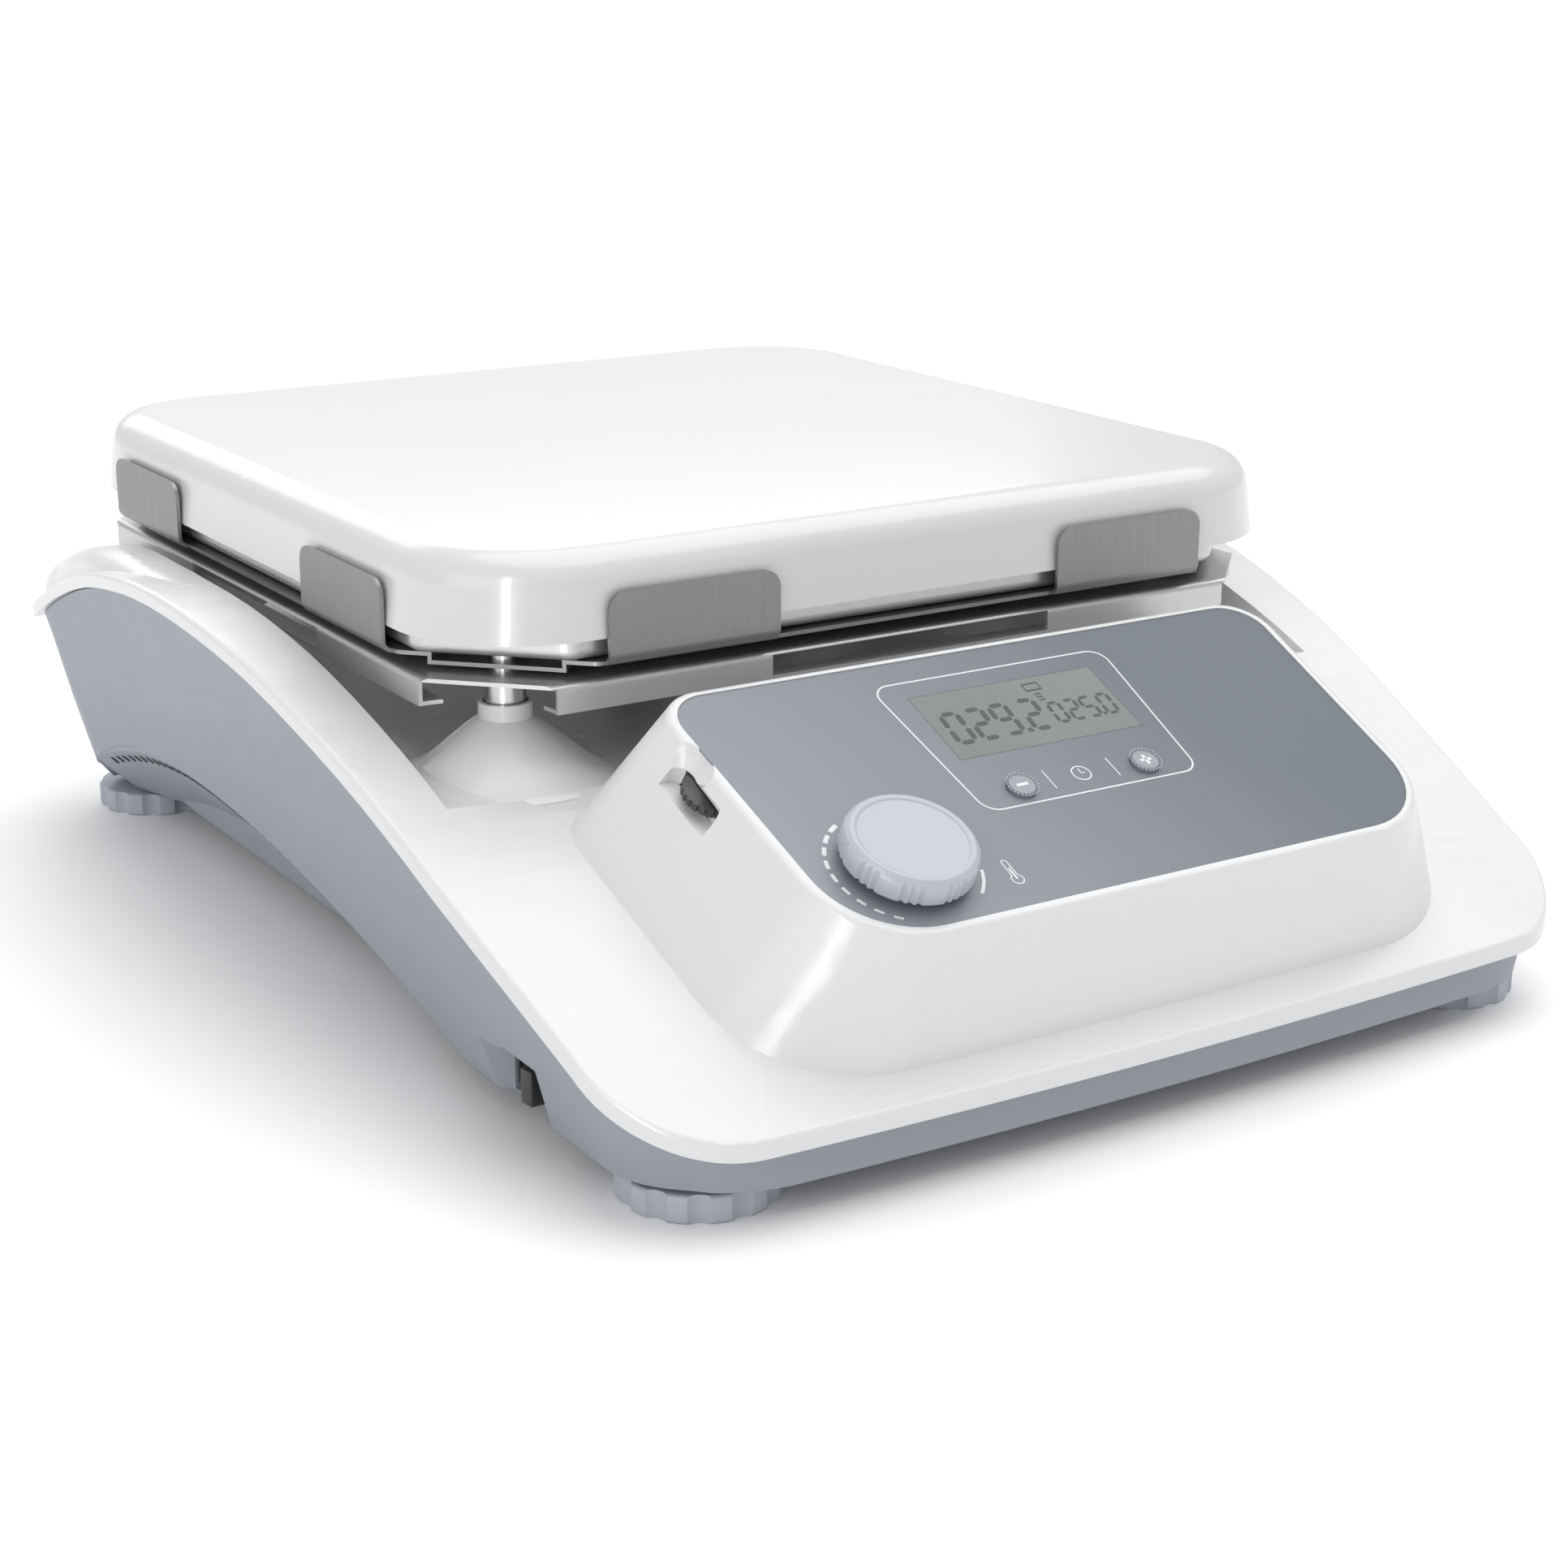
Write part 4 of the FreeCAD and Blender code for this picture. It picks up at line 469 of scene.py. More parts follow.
def arch_height(y):
    """Lower edge of the side wall over the arch: two arcs that meet at its top."""
    radius = ARCH_FRONT_RADIUS if y < ARCH_Y else ARCH_REAR_RADIUS
    reach = min(abs(y - ARCH_Y), radius)
    return ARCH_TOP - radius + math.sqrt(radius * radius - reach * reach)


def old_arch(y):
    """Ceiling of the solid's own side arch: a ramp, then a curve down to the rear foot."""
    share = min(1, max(0, (y - OLD_ARCH_FROM) / (OLD_ARCH_PEAK - OLD_ARCH_FROM)))
    drop = OLD_ARCH_DROP * (max(0, y - OLD_ARCH_PEAK) / OLD_ARCH_REACH) ** 2
    return OLD_ARCH_LOW + OLD_ARCH_RISE * share - drop


def wall_wider(y, z):
    """How much further out the new side wall stands than the solid's, at a depth and height."""
    return along(WIDER, y) + LESS_OVERHANG + (OLD_LEAN - NEW_LEAN) * (along(WALL_TOP, y) - z)


def old_wall(y, z):
    """Half width of the solid's side wall at a depth and height."""
    return along(WALL_HALF, y) - OLD_LEAN * (along(WALL_TOP, y) - z)


def new_wall(y, z):
    """Half width of the new side wall at a depth and height."""
    return old_wall(y, z) + wall_wider(y, z)


# %% Push of the base
WALL_INNER, WALL_OUTER = 5, 3.2
FOLLOW_FROM, FOLLOW_FULL = 117, 124
RISE_FROM, RISE_FULL = 25, 4
ARCH_HALF, ARCH_ENDS = 115, (-113, 176)
ABOVE_BOTTOM = 0.6
WALL_GAP = 0.4
CEILING_SLOPE = 0.85
HIDDEN_RISE, HIDDEN_FROM, HIDDEN_FULL = 1.2, 0.3, 1.5
LIFT_FULL, LIFT_GONE = 3.5, 32


def arch_lift(out, y, z, wide, on_wall):
    """How far a point over the arch moves up, so that the arch follows its new slanted form."""
    if out <= ARCH_HALF or not ARCH_ENDS[0] < y < ARCH_ENDS[1] or z <= BASE_BOTTOM + ABOVE_BOTTOM:
        return 0
    edge = new_wall(y, arch_height(y))
    under = max(0, edge - out - wide - WALL_GAP) * (1 - on_wall)
    hidden = HIDDEN_RISE * ease(under, HIDDEN_FROM, HIDDEN_FULL)
    target = max(BASE_BOTTOM, arch_height(y) - CEILING_SLOPE * under + hidden)
    ceiling = old_arch(y)
    return (target - ceiling) * (1 - ease(z, ceiling + LIFT_FULL, ceiling + LIFT_GONE))


def base_push(x, y, z):
    """New place of a point of the base: outline, lean, and the slanted ceiling of the arch."""
    side, out = math.copysign(1, x), abs(x)
    top, wall = along(WALL_TOP, y), old_wall(y, z)
    on_wall = ease(out, wall - WALL_INNER, wall - WALL_OUTER)
    wide = wall_wider(y, z) * ease(out, FOLLOW_FROM, FOLLOW_FULL)
    high = along(HIGHER, y) * ease(z, top - RISE_FROM, top - RISE_FULL)
    lift = arch_lift(out, y, z, wide, on_wall)
    height = max(z + high + lift, min(z, BASE_BOTTOM))
    return (side * (out + wide + NEW_LEAN * lift * on_wall), y + depth_push(x, y, z), height)


print("arch, highest:", ARCH_TOP, "mm; at the front foot:", round(arch_height(-83), 1), "mm")


# %% Pieces from meshes
def mesh_object(name, bm, material, body):
    """Turn a bmesh in place into a piece that rides on a body."""
    bmesh.ops.remove_doubles(bm, verts=bm.verts, dist=1e-7)
    bmesh.ops.recalc_face_normals(bm, faces=bm.faces)
    mesh = bpy.data.meshes.new(name)
    bm.to_mesh(mesh)
    bm.free()
    mesh.materials.append(material)
    piece = bpy.data.objects.new(name, mesh)
    bpy.context.scene.collection.objects.link(piece)
    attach(piece, body)
    return piece


def soften(piece, degrees):
    """Smooth shading with sharp edges above an angle."""
    piece.data.shade_smooth()
    piece.data.set_sharp_from_angle(angle=math.radians(degrees))


print("helpers ready for pieces")

# %% Pushed copies of the two shells
CUT_SNAP, MERGE = 0.001 * MM, 0.03 * MM
SHARP_FROM = math.radians(32)
FRONT_BAND, SIDE_BAND = -176 * MM, 112 * MM
FRONT_CUTS = range(-120, 121, 20)
FIRST_CUT, LAST_CUT = -180, 184


def cut(bm, faces, at, normal):
    """Cut some faces at a plane: the form stays, and it gets vertices to push."""
    edges = dict.fromkeys(e for f in faces for e in f.edges)
    verts = dict.fromkeys(v for f in faces for v in f.verts)
    bmesh.ops.bisect_plane(bm, geom=list(verts) + list(edges) + faces, plane_co=at,
                           plane_no=normal, dist=CUT_SNAP)


def pushed_copy(node_name, name, push, step, slot_name):
    """Copy of a node's mesh, cut at stations along the depth, with every point pushed."""
    source = frame["nodes"][node_name]
    bm = bmesh.new()
    bm.from_mesh(source.data)
    bm.transform(source.matrix_world)
    for edge in bm.edges:
        edge.smooth = len(edge.link_faces) == 2 and edge.calc_face_angle(0) < SHARP_FROM
    for x in FRONT_CUTS:
        front = [f for f in bm.faces if min(v.co.y for v in f.verts) < FRONT_BAND]
        cut(bm, front, (x * MM, 0, 0), (1, 0, 0))
    for y in range(FIRST_CUT, LAST_CUT, step):
        sides = [f for f in bm.faces if max(abs(v.co.x) for v in f.verts) > SIDE_BAND]
        cut(bm, sides, (0, y * MM, 0), (0, 1, 0))
    for vert in bm.verts:
        vert.co = Vector(push(*(c / MM for c in vert.co))) * MM
    bmesh.ops.remove_doubles(bm, verts=bm.verts, dist=MERGE)
    bmesh.ops.dissolve_degenerate(bm, edges=bm.edges, dist=MERGE)
    bmesh.ops.triangulate(bm, faces=bm.faces)
    mesh = bpy.data.meshes.new(name)
    bm.to_mesh(mesh)
    bm.free()
    mesh.materials.append(BY_SLOT[slot_name])
    piece = bpy.data.objects.new(name, mesh)
    bpy.context.scene.collection.objects.link(piece)
    weighted = piece.modifiers.new("weighted", "WEIGHTED_NORMAL")
    weighted.keep_sharp = True
    bpy.context.view_layer.update()
    evaluated = piece.evaluated_get(bpy.context.evaluated_depsgraph_get())
    piece.data = bpy.data.meshes.new_from_object(evaluated)
    piece.modifiers.remove(piece.modifiers["weighted"])
    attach(piece, "housing")
    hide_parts(node_name)
    return piece


cover_shell = pushed_copy("top_cover", "cover_shell", shell_push, 9, "cover_white")
base_shell = pushed_copy("base_housing", "base_shell", base_push, 6, "base_grey")
print("triangles:", len(cover_shell.data.polygons), len(base_shell.data.polygons))

# %% Slanted ceilings of the side arches
CEILING_FROM, CEILING_TO, CEILING_STEP = -84, 156, 4
CEILING_INNER, CEILING_SHEET, CEILING_PARTS = 104, 1.3, 4
INTO_WALL, INTO_FLOOR, ABOVE_WALL_EDGE = 0.05, 0.5, 0.02


def ceiling_point(side, y, share, sheet):
    """Point of a ceiling: share 0 at the wall's lower edge, 1 at the inner end."""
    edge = new_wall(y, arch_height(y)) - INTO_WALL
    inner = max(CEILING_INNER, edge - (arch_height(y) - BASE_BOTTOM) - INTO_FLOOR)
    out = edge + (inner - edge) * share
    height = arch_height(y) - (edge - out) + ABOVE_WALL_EDGE
    return Vector((side * out, y + depth_push(out, y, height), height + sheet)) * MM


ceilings = bmesh.new()
for side in (-1, 1):
    rows = []
    for y in range(CEILING_FROM, CEILING_TO + 1, CEILING_STEP):
        rows.append([[ceilings.verts.new(ceiling_point(side, y, k / CEILING_PARTS, sheet))
                      for k in range(CEILING_PARTS + 1)] for sheet in (0, CEILING_SHEET)])
    for first, second in zip(rows, rows[1:]):
        for near, far in zip(first, second):
            for k in range(CEILING_PARTS):
                ceilings.faces.new((near[k], near[k + 1], far[k + 1], far[k]))
        for k in (0, CEILING_PARTS):
            ceilings.faces.new((first[0][k], second[0][k], second[1][k], first[1][k]))
    for below, above in (rows[0], rows[-1]):
        for k in range(CEILING_PARTS):
            ceilings.faces.new((below[k], below[k + 1], above[k + 1], above[k]))
arch_ceilings = mesh_object("arch_ceilings", ceilings, grey_abs, "housing")
soften(arch_ceilings, 35)
print("ceiling faces:", len(arch_ceilings.data.polygons))

# %% [markdown]
# ## Printed marks on the panel
#
# The marks are ink on the film: a frame line round the display and its two keys, a short line
# beside each key, a scale of dashes that grow round the knob, and small plain pictograms.
# Each is a closed ribbon of ink a few hundredths of a millimetre thick, so that the mesh itself
# carries it and no picture is needed.

# %% Ribbons of ink
INK_LOW = FILM_TOP + 0.01
INK_THICKNESS = 0.03


def add_slab(bm, outline, low, high):
    """Closed slab over an outline of (u, v) points on the panel, between two heights."""
    bottom = [bm.verts.new(on_panel(u, v, low)) for u, v in outline]
    top = [bm.verts.new(on_panel(u, v, high)) for u, v in outline]
    bm.faces.new(top)
    bm.faces.new(list(reversed(bottom)))
    count = len(outline)
    for i in range(count):
        j = (i + 1) % count
        bm.faces.new((bottom[i], bottom[j], top[j], top[i]))


def add_stroke(bm, points, width, closed=False):
    """Ribbon of even width along a line of (u, v) points."""
    count = len(points)
    left, right_side = [], []
    for i in range(count):
        before = Vector(points[i - 1] if (i or closed) else points[i])
        after = Vector(points[(i + 1) % count] if (i < count - 1 or closed) else points[i])
        heading = (after - before).normalized()
        across = Vector((-heading.y, heading.x)) * (width / 2)
        here = Vector(points[i])
        left.append(tuple(here + across))
        right_side.append(tuple(here - across))
    steps = count if closed else count - 1
    for i in range(steps):
        j = (i + 1) % count
        add_slab(bm, [left[i], right_side[i], right_side[j], left[j]], INK_LOW,
                 INK_LOW + INK_THICKNESS)


def arc_points(centre, radius, start, end, count):
    """Points along an arc; angles in degrees from +u, turning to +v."""
    turns = [math.radians(start + (end - start) * i / count) for i in range(count + 1)]
    return [(centre[0] + radius * math.cos(a), centre[1] + radius * math.sin(a)) for a in turns]


def rounded_outline(corners, radius, steps=8):
    """Corner points replaced by arcs that touch both sides."""
    points = []
    count = len(corners)
    for i in range(count):
        here = Vector(corners[i])
        back = (Vector(corners[i - 1]) - here).normalized()
        ahead = (Vector(corners[(i + 1) % count]) - here).normalized()
        half = back.angle(ahead) / 2
        centre = here + (back + ahead).normalized() * (radius / math.sin(half))
        first = here + back * (radius / math.tan(half)) - centre
        last = here + ahead * (radius / math.tan(half)) - centre
        sweep = math.atan2(first.x * last.y - first.y * last.x, first.dot(last))
        for k in range(steps + 1):
            turn = sweep * k / steps
            points.append((centre.x + first.x * math.cos(turn) - first.y * math.sin(turn),
                           centre.y + first.x * math.sin(turn) + first.y * math.cos(turn)))
    return points


def add_revolve(bm, profile, place, segments=64, dent=None):
    """Surface of revolution: profile of (radius, height), placed by place(a, b, height)."""
    rings = []
    for radius, height in profile:
        if radius == 0:
            rings.append([bm.verts.new(place(0, 0, height))])
            continue
        ring = []
        for i in range(segments):
            turn = 2 * math.pi * i / segments
            r = radius - (dent(turn, radius, height) if dent else 0)
            ring.append(bm.verts.new(place(r * math.cos(turn), r * math.sin(turn), height)))
        rings.append(ring)
    for low, high in zip(rings, rings[1:]):
        for i in range(segments):
            j = (i + 1) % segments
            if len(high) == 1:
                bm.faces.new((low[i], low[j], high[0]))
            elif len(low) == 1:
                bm.faces.new((low[0], high[j], high[i]))
            else:
                bm.faces.new((low[i], low[j], high[j], high[i]))


print("helpers ready for ink and turned forms")

# %% [markdown]
# ## Turned and moulded details
#
# The knob is turned in code: its rim is grooved in nine groups of three, and its top is dished
# inside a raised ring. The bosses that carry the heater grow out of the cover in a smooth
# sweep. The rocker has a raised end and a nearly flat end.

# %% Knob
KNOB_AT = (-60.9, 19.5)
KNOB_PROFILE = [(0, 1.6), (14.9, 1.6), (15.4, 1.9), (15.6, 2.5), (15.6, 6.0), (15.5, 6.5),
                (15.1, 7.1), (14.6, 7.45), (14.3, 7.85), (13.9, 8.0), (13.3, 8.0), (12.9, 7.85),
                (12.6, 7.6), (10, 7.45), (5, 7.35), (0, 7.3)]
GROOVE_GROUPS, GROOVE_TURN, GROOVE_HALF = 9, math.radians(7.5), math.radians(2.6)
GROOVE_DEEP, GROOVE_INNER, GROOVE_FADE, GROOVE_TOP = 0.55, 14.8, 6.6, 7.2


def knob_dent(turn, radius, height):
    """Depth of the grip grooves at an angle: three side by side in each group."""
    if height > GROOVE_TOP or radius < GROOVE_INNER:
        return 0
    pitch = 2 * math.pi / GROOVE_GROUPS
    local = (turn + pitch / 2) % pitch - pitch / 2
    near = min(abs(local - k * GROOVE_TURN) for k in (-1, 0, 1))
    if near >= GROOVE_HALF:
        return 0
    fade = 1 - ease(height, GROOVE_FADE, GROOVE_TOP)
    return GROOVE_DEEP * fade * math.cos(near / GROOVE_HALF * math.pi / 2)


knob = bmesh.new()
add_revolve(knob, KNOB_PROFILE, lambda a, b, h: on_panel(KNOB_AT[0] + a, KNOB_AT[1] + b, h),
            360, knob_dent)
dial_knob = mesh_object("dial_knob", knob, knob_abs, "temperature_dial")
soften(dial_knob, 34)
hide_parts("temperature_knob")
print("knob faces:", len(dial_knob.data.polygons))

# %% Bosses that carry the heater
POST_HALF, PLATE_Y = 104, 46.5
MOUND = [(26, 65.7), (25.8, 66.1), (23.5, 67.3), (21, 69.0), (18.5, 71.0), (16, 73.1),
         (13.5, 75.3), (11.5, 77), (9.8, 78.4), (8.4, 79.4), (7.4, 80.1), (6.9, 80.5),
         (6.62, 80.6), (6.62, 65.7), (26, 65.7)]
mounds = bmesh.new()
for side_x in (-1, 1):
    for side_y in (-1, 1):
        x, y = side_x * POST_HALF, PLATE_Y + side_y * POST_HALF
        add_revolve(mounds, MOUND, lambda a, b, h: Vector((x + a, y + b, h)) * MM, 72)
post_mounds = mesh_object("post_mounds", mounds, white_abs, "housing")
soften(post_mounds, 40)
print("mounds:", 4)

# %% Rocker of the power switch
ROCKER = [(-126.9, -123.6), (-133.6, -123.6), (-134.2, -119.6), (-128.4, -118.4),
          (-127.7, -108.4), (-126.4, -108.4), (-122.4, -116)]
ROCKER_LOW, ROCKER_HIGH = 11.2, 19.6
rocker = bmesh.new()
low = [rocker.verts.new(Vector((x, y, ROCKER_LOW)) * MM) for x, y in ROCKER]
high = [rocker.verts.new(Vector((x, y, ROCKER_HIGH)) * MM) for x, y in ROCKER]
rocker.faces.new(low)
rocker.faces.new(list(reversed(high)))
for i in range(len(ROCKER)):
    j = (i + 1) % len(ROCKER)
    rocker.faces.new((low[i], high[i], high[j], low[j]))
bmesh.ops.recalc_face_normals(rocker, faces=rocker.faces)
bmesh.ops.bevel(rocker, geom=list(rocker.edges), offset=0.25 * MM, segments=2, affect="EDGES",
                profile=0.5)
switch_key = mesh_object("switch_key", rocker, rocker_nylon, "power_key")
soften(switch_key, 30)
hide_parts("power_rocker")

ZERO_AT = Vector((-128.12, -113.4, 15.4))
ZERO_ALONG = Vector((0.07, 1, 0)).normalized()
ZERO_OUTER, ZERO_INNER, ZERO_STEPS = (1.05, 1.75), (0.72, 1.42), 28
ZERO_FRONT, ZERO_BACK = 0.06, -0.05
zero = bmesh.new()
rings = []
for (half_y, half_z), lift in ((ZERO_OUTER, ZERO_FRONT), (ZERO_INNER, ZERO_FRONT),
                               (ZERO_INNER, ZERO_BACK), (ZERO_OUTER, ZERO_BACK)):
    turns = [2 * math.pi * i / ZERO_STEPS for i in range(ZERO_STEPS)]
    rings.append([zero.verts.new((ZERO_AT + ZERO_ALONG * (half_y * math.cos(turn))
                                  + Vector((-lift, 0, half_z * math.sin(turn)))) * MM)
                  for turn in turns])
for a, b in zip(rings, rings[1:] + rings[:1]):
    for i in range(ZERO_STEPS):
        j = (i + 1) % ZERO_STEPS
        zero.faces.new((a[i], a[j], b[j], b[i]))
zero_mark = mesh_object("switch_zero", zero, white_ink, "power_key")
print("rocker faces:", len(switch_key.data.polygons))

# %% Draw the marks
LINE, THIN_LINE = 0.45, 0.3
FRAME_CORNERS, FRAME_RADIUS = [(-31, 30), (31, 30), (34.5, 77), (-34.5, 77)], 4.5
SEPARATOR_U, SEPARATOR_LOW, SEPARATOR_HIGH = 9.4, 33, 39.6
DIAL_RADIUS = 17.9
DASHES, DASH_START, DASH_END = 9, 122.0, 234.0
DASH_LONG, DASH_SHORTER, DASH_WIDE, DASH_NARROWER = 9.6, 2.6, 1.15, 0.5
PLAIN_ARC, PLAIN_ARC_WIDE = (-46, -20), 0.8
CLOCK_AT, CLOCK_RADIUS, CLOCK_LINE, HOUR_HAND, MINUTE_HAND = (0, 36.3), 2.4, 0.35, 1.1, 1.6
BULB_AT, BULB_RADIUS, TUBE_RADIUS, TUBE_TOP, TUBE_FOOT = (-37.5, 8.4), 1.5, 0.75, 5.6, 1.4
COLUMN_TOP, COLUMN_WIDE = 3.8, 0.5

marks = bmesh.new()
add_stroke(marks, rounded_outline(FRAME_CORNERS, FRAME_RADIUS), LINE, closed=True)
for side in (-1, 1):
    add_stroke(marks, [(side * SEPARATOR_U, SEPARATOR_LOW), (side * SEPARATOR_U, SEPARATOR_HIGH)],
               THIN_LINE)
for i in range(DASHES):
    share = i / (DASHES - 1)
    middle = DASH_START + (DASH_END - DASH_START) * share
    half = (DASH_LONG - DASH_SHORTER * share) / 2
    add_stroke(marks, arc_points(KNOB_AT, DIAL_RADIUS, middle - half, middle + half, 4),
               DASH_WIDE - DASH_NARROWER * share)
add_stroke(marks, arc_points(KNOB_AT, DIAL_RADIUS, *PLAIN_ARC, 8), PLAIN_ARC_WIDE)
u, v = CLOCK_AT
add_stroke(marks, arc_points(CLOCK_AT, CLOCK_RADIUS, 0, 348, 28), CLOCK_LINE, closed=True)
add_stroke(marks, [(u, v + MINUTE_HAND), (u, v), (u + HOUR_HAND, v)], CLOCK_LINE)
u, v = BULB_AT
bulb = arc_points(BULB_AT, BULB_RADIUS, 120, 420, 22)
tube = arc_points((u, v + TUBE_TOP), TUBE_RADIUS, 30, 150, 6)
add_stroke(marks, bulb + [(u + TUBE_RADIUS, v + TUBE_TOP)] + tube + [(u - TUBE_RADIUS, v + TUBE_FOOT)],
           THIN_LINE, closed=True)
add_stroke(marks, [(u, v), (u, v + COLUMN_TOP)], COLUMN_WIDE)
printed_marks = mesh_object("panel_marks", marks, white_ink, "housing")
print("faces of ink:", len(printed_marks.data.polygons))

# %% [markdown]
# ## Digits on the display
#
# A liquid-crystal display has fixed segments, seven for each digit. A segment is a thin
# hexagon, and a digit is the choice of segments that are dark. All digits lean a little.

# %% Seven-segment digits
SEGMENTS = {"0": "abcdef", "1": "bc", "2": "abged", "3": "abgcd", "4": "fgbc", "5": "afgcd",
            "6": "afgedc", "7": "abc", "8": "abcdefg", "9": "abcdfg"}
LEAN, SEGMENT_GAP = 0.06, 0.28


def add_digit(bm, character, u, v, width, height, thick):
    """One digit with its lower left corner at (u, v)."""
    half = height / 2
    lines = {"a": ((0, height), (width, height)), "b": ((width, half), (width, height)),
             "c": ((width, 0), (width, half)), "d": ((0, 0), (width, 0)),
             "e": ((0, 0), (0, half)), "f": ((0, half), (0, height)),
             "g": ((0, half), (width, half))}
    for name in SEGMENTS[character]:
        start, end = (Vector(p) for p in lines[name])
        heading = (end - start).normalized()
        across = Vector((-heading.y, heading.x)) * thick / 2
        tip = heading * thick / 2
        start = start + heading * thick * SEGMENT_GAP
        end = end - heading * thick * SEGMENT_GAP
        shape = [start, start + tip - across, end - tip - across, end,
                 end - tip + across, start + tip + across]
        outline = [(u + p.x + LEAN * p.y, v + p.y) for p in shape]
        add_slab(bm, outline, INK_LOW, INK_LOW + INK_THICKNESS)


def add_dot(bm, u, v, size):
    """Decimal point."""
    add_slab(bm, [(u, v), (u + size, v), (u + size, v + size), (u, v + size)], INK_LOW,
             INK_LOW + INK_THICKNESS)


# Each reading: whole digits, tenth, corner, size of a digit, pitch, point, place of the tenth.
READINGS = (("029", "2", (-23.4, 53.4), (4.6, 10.4, 1.4), 7.0, (19.9, -0.5, 1.3), 22.3),
            ("025", "0", (6.6, 54.2), (3.1, 7.0, 0.95), 4.7, (13.2, -0.3, 0.9), 14.7))
STATE_SIGN = [(4.9, 66.8), (9.4, 66.8), (9.4, 69.2), (4.9, 69.2)]
BAR_FROM, BAR_TO, BAR_LOW, BAR_PITCH = 6.2, 8.0, 63.0, 1.1
digits = bmesh.new()
for whole, tenth, (u, v), size, pitch, (dot_u, dot_v, dot_size), tenth_u in READINGS:
    for i, character in enumerate(whole):
        add_digit(digits, character, u + i * pitch, v, *size)
    add_dot(digits, u + dot_u, v + dot_v, dot_size)
    add_digit(digits, tenth, u + tenth_u, v, *size)
add_stroke(digits, STATE_SIGN, 0.6, closed=True)
for i in range(3):
    bar = BAR_LOW + i * BAR_PITCH
    add_stroke(digits, [(BAR_FROM, bar), (BAR_TO, bar)], 0.5)
lcd_digits = mesh_object("display_digits", digits, segment_ink, "housing")
print("faces of digits:", len(lcd_digits.data.polygons))

# %% Signs on the keys
BUTTON_AT = {"minus_key": -18.2, "plus_key": 18.2}
BUTTON_V = 35.35
BUTTON_TOP, SIGN_SUNK = 0.9, 0.05
SIGN_BAR = (1.6, 0.45)
for body, u in BUTTON_AT.items():
    sign = bmesh.new()
    bars = [SIGN_BAR] if body == "minus_key" else [SIGN_BAR, SIGN_BAR[::-1]]
    for half_u, half_v in bars:
        add_slab(sign, [(u - half_u, BUTTON_V - half_v), (u + half_u, BUTTON_V - half_v),
                        (u + half_u, BUTTON_V + half_v), (u - half_u, BUTTON_V + half_v)],
                 BUTTON_TOP - SIGN_SUNK, BUTTON_TOP + INK_THICKNESS)
    piece = mesh_object(body + "_sign", sign, white_ink, body)
print("signs on keys:", len(BUTTON_AT))

# %% [markdown]
# ## Repeats by Geometry Nodes
#
# Under each side arch runs a row of small vent slots, drawn as thin black blocks: their dark is
# painted shade for the inside of the openings. Each key has a ring of raised dots. One node group
# sets a small block on every point of a mesh and turns it by the point's own angles. The result
# is baked to a plain mesh, and the modifier goes.


# %% A group that sets blocks on points
def block_group(name):
    """Node group: blocks on points, turned by the attribute "turn", realized, with a material."""
    group = bpy.data.node_groups.new(name, "GeometryNodeTree")
    sockets = {}
    for label, kind, way in (("Points", "NodeSocketGeometry", "INPUT"),
                             ("Block Size", "NodeSocketVector", "INPUT"),
                             ("Material", "NodeSocketMaterial", "INPUT"),
                             ("Seed", "NodeSocketInt", "INPUT"),
                             ("Blocks", "NodeSocketGeometry", "OUTPUT")):
        sockets[label] = group.interface.new_socket(label, in_out=way, socket_type=kind)
    start = add(group, "NodeGroupInput")
    block = add(group, "GeometryNodeMeshCube", links={"Size": start.outputs["Block Size"]})
    turn = add(group, "GeometryNodeInputNamedAttribute",
               {"data_type": "FLOAT_VECTOR", "Name": "turn"})
    turned = add(group, "FunctionNodeEulerToRotation", links={0: turn.outputs[0]})
    placed = add(group, "GeometryNodeInstanceOnPoints",
                 links={"Points": start.outputs["Points"], "Instance": block.outputs[0],
                        "Rotation": turned.outputs[0]})
    real = add(group, "GeometryNodeRealizeInstances", links={0: placed.outputs[0]})
    dressed = add(group, "GeometryNodeSetMaterial",
                  links={"Geometry": real.outputs[0], "Material": start.outputs["Material"]})
    add(group, "NodeGroupOutput", links={"Blocks": dressed.outputs[0]})
    return group, {label: socket.identifier for label, socket in sockets.items()}


def bake_blocks(name, points, turns, size, material, body):
    """Run the group on a cloud of points and keep the result as a plain piece."""
    group, identifiers = block_group(name + "_nodes")
    cloud = bpy.data.meshes.new(name + "_points")
    cloud.from_pydata([tuple(p) for p in points], [], [])
    attribute = cloud.attributes.new("turn", "FLOAT_VECTOR", "POINT")
    for item, value in zip(attribute.data, turns):
        item.vector = value
    holder = bpy.data.objects.new(name + "_holder", cloud)
    bpy.context.scene.collection.objects.link(holder)
    modifier = holder.modifiers.new("blocks", "NODES")
    modifier.node_group = group
    modifier[identifiers["Block Size"]] = tuple(c * MM for c in size)
    modifier[identifiers["Material"]] = material
    modifier[identifiers["Seed"]] = 1
    bpy.context.view_layer.update()
    evaluated = holder.evaluated_get(bpy.context.evaluated_depsgraph_get())
    mesh = bpy.data.meshes.new_from_object(evaluated)
    holder.modifiers.remove(modifier)
    bpy.data.objects.remove(holder)
    mesh.name = name
    piece = bpy.data.objects.new(name, mesh)
    bpy.context.scene.collection.objects.link(piece)
    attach(piece, body)
    return piece


print("block group ready")

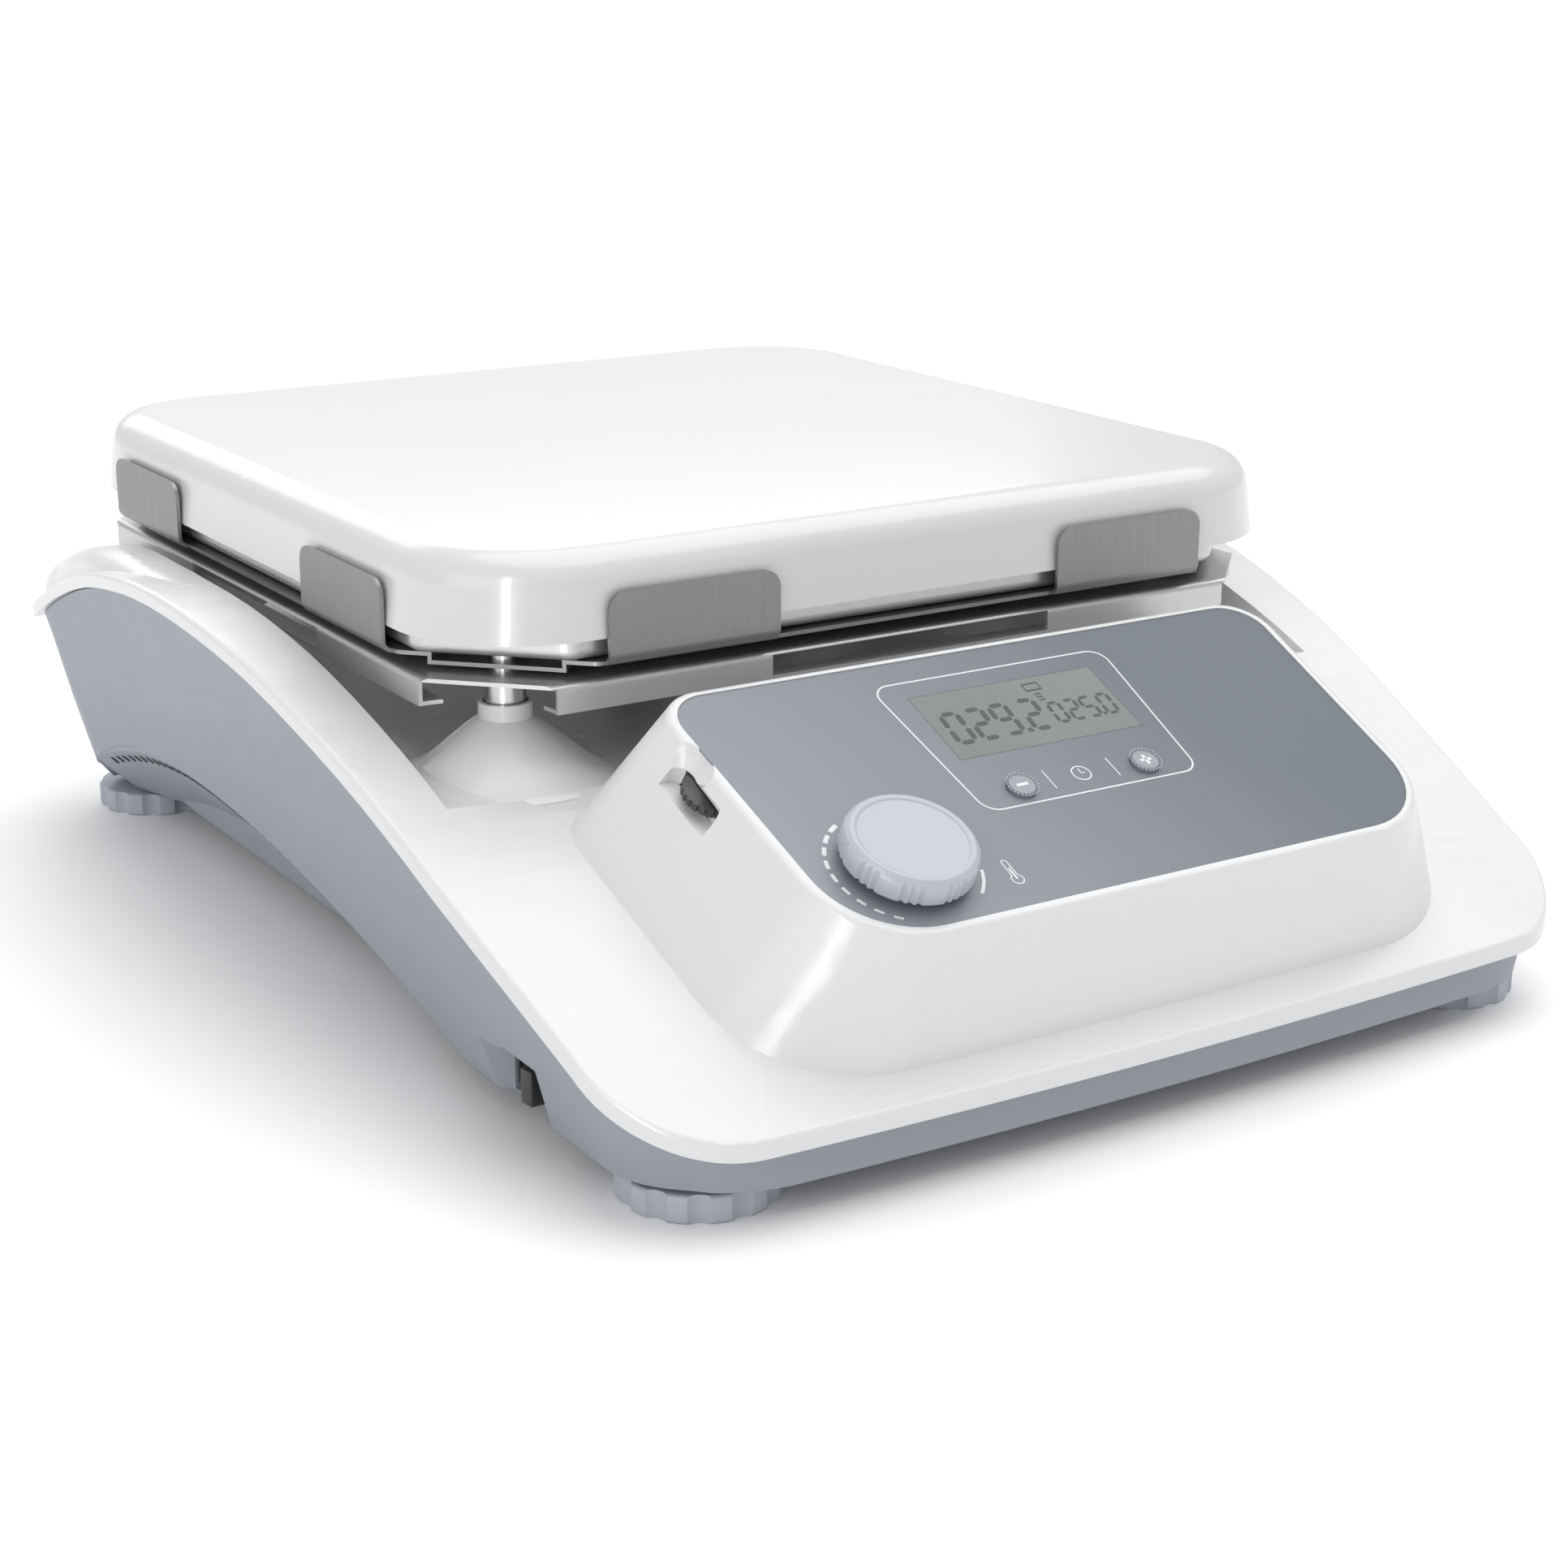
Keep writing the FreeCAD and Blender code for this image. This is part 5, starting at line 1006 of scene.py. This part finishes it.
# %% Vent slots, drawn as dark blocks of painted shade
VENT_PITCH, VENT_FIRST, VENT_LAST = 5.5, -58, 149
VENT_SIZE, VENT_INSET = (2.6, 1.7, 0.5), 2.6
vent_points, vent_turns = [], []
y = VENT_FIRST
while y <= VENT_LAST:
    for side in (-1, 1):
        z = arch_height(y)
        out = new_wall(y, z) - VENT_INSET
        vent_points.append(Vector((side * out, y, z - VENT_INSET)) * MM)
        vent_turns.append((0, -side * math.radians(45), 0))
    y += VENT_PITCH
# Thin black blocks at the arch line: painted shade for the dark inside the vent openings.
bake_blocks("arch_vents_painted_shade", vent_points, vent_turns, VENT_SIZE, nylon_and_vent_shade, "housing")
print("vent slots:", len(vent_points))

# %% Dots round the keys
DOTS, DOT_RADIUS, DOT_SIZE, DOT_LEVEL = 26, 3.95, (0.34, 0.34, 0.22), 0.93
for body, u in BUTTON_AT.items():
    angles = [2 * math.pi * i / DOTS for i in range(DOTS)]
    places = [on_panel(u + DOT_RADIUS * math.cos(a), BUTTON_V + DOT_RADIUS * math.sin(a), DOT_LEVEL)
              for a in angles]
    bake_blocks(body + "_dots", places, [(PANEL_TILT, 0, 0)] * DOTS, DOT_SIZE, knob_abs, body)
print("dots per key:", DOTS)

# %% [markdown]
# ## Floor and light
#
# The picture is a product shot on white: a very large soft key from the upper right, an even
# white surround that fills the shadows, a narrow strip that draws the tall highlight on the
# plate's near corner, a small fill from the left, and a glow from behind that lifts the plate's
# far edge.

# %% Floor
floor_mesh = bpy.data.meshes.new("floor")
FLOOR_HALF = 40.0
floor_corners = [(a * FLOOR_HALF, b * FLOOR_HALF, 0)
                 for a, b in ((-1, -1), (1, -1), (1, 1), (-1, 1))]
floor_mesh.from_pydata(floor_corners, [], [(0, 1, 2, 3)])
floor = bpy.data.objects.new("floor", floor_mesh)
bpy.context.scene.collection.objects.link(floor)
floor_material, tree = new_material("pale paper sweep")
paper = add(tree, "ShaderNodeBsdfPrincipled", {"Roughness": 0.9, "Base Color": linear("#FDFDFD")})
floor_mesh.materials.append(finish_material(floor_material, tree, paper))


# %% Lights
def area_light(name, at, target, width, height, watts):
    """Rectangular soft light that points at a target."""
    data = bpy.data.lights.new(name, "AREA")
    data.shape = "RECTANGLE"
    data.size = width
    data.size_y = height
    data.energy = watts
    light = bpy.data.objects.new(name, data)
    light.location = at
    light.rotation_euler = (Vector(target) - Vector(at)).to_track_quat("-Z", "Y").to_euler()
    bpy.context.scene.collection.objects.link(light)
    return light


key_data = bpy.data.lights.new("key", "SUN")
key_data.energy = 1.65
key_data.angle = math.radians(65)
key = bpy.data.objects.new("key", key_data)
key.rotation_euler = Vector((0.3, 0.05, 1.0)).to_track_quat("Z", "Y").to_euler()
bpy.context.scene.collection.objects.link(key)
area_light("rear_glow", (0.9, 3.2, 1.7), (0, 0, 0.12), 3.2, 1.6, 22)
area_light("left_fill", (-1.7, -0.5, 0.75), (0, 0, 0.08), 1.2, 0.9, 4.5)
strip = area_light("corner_strip", (-0.30, -0.29, 0.15), (-0.11, -0.06, 0.11), 0.035, 0.36,
                   0.5)
strip.visible_camera = False
strip.visible_diffuse = False
world = bpy.data.worlds.new("studio")
bpy.context.scene.world = world
world.use_nodes = True
surround = world.node_tree.nodes["Background"]
surround.inputs["Color"].default_value = linear("#FFFFFF")
surround.inputs["Strength"].default_value = 0.62
print("lights:", 4)
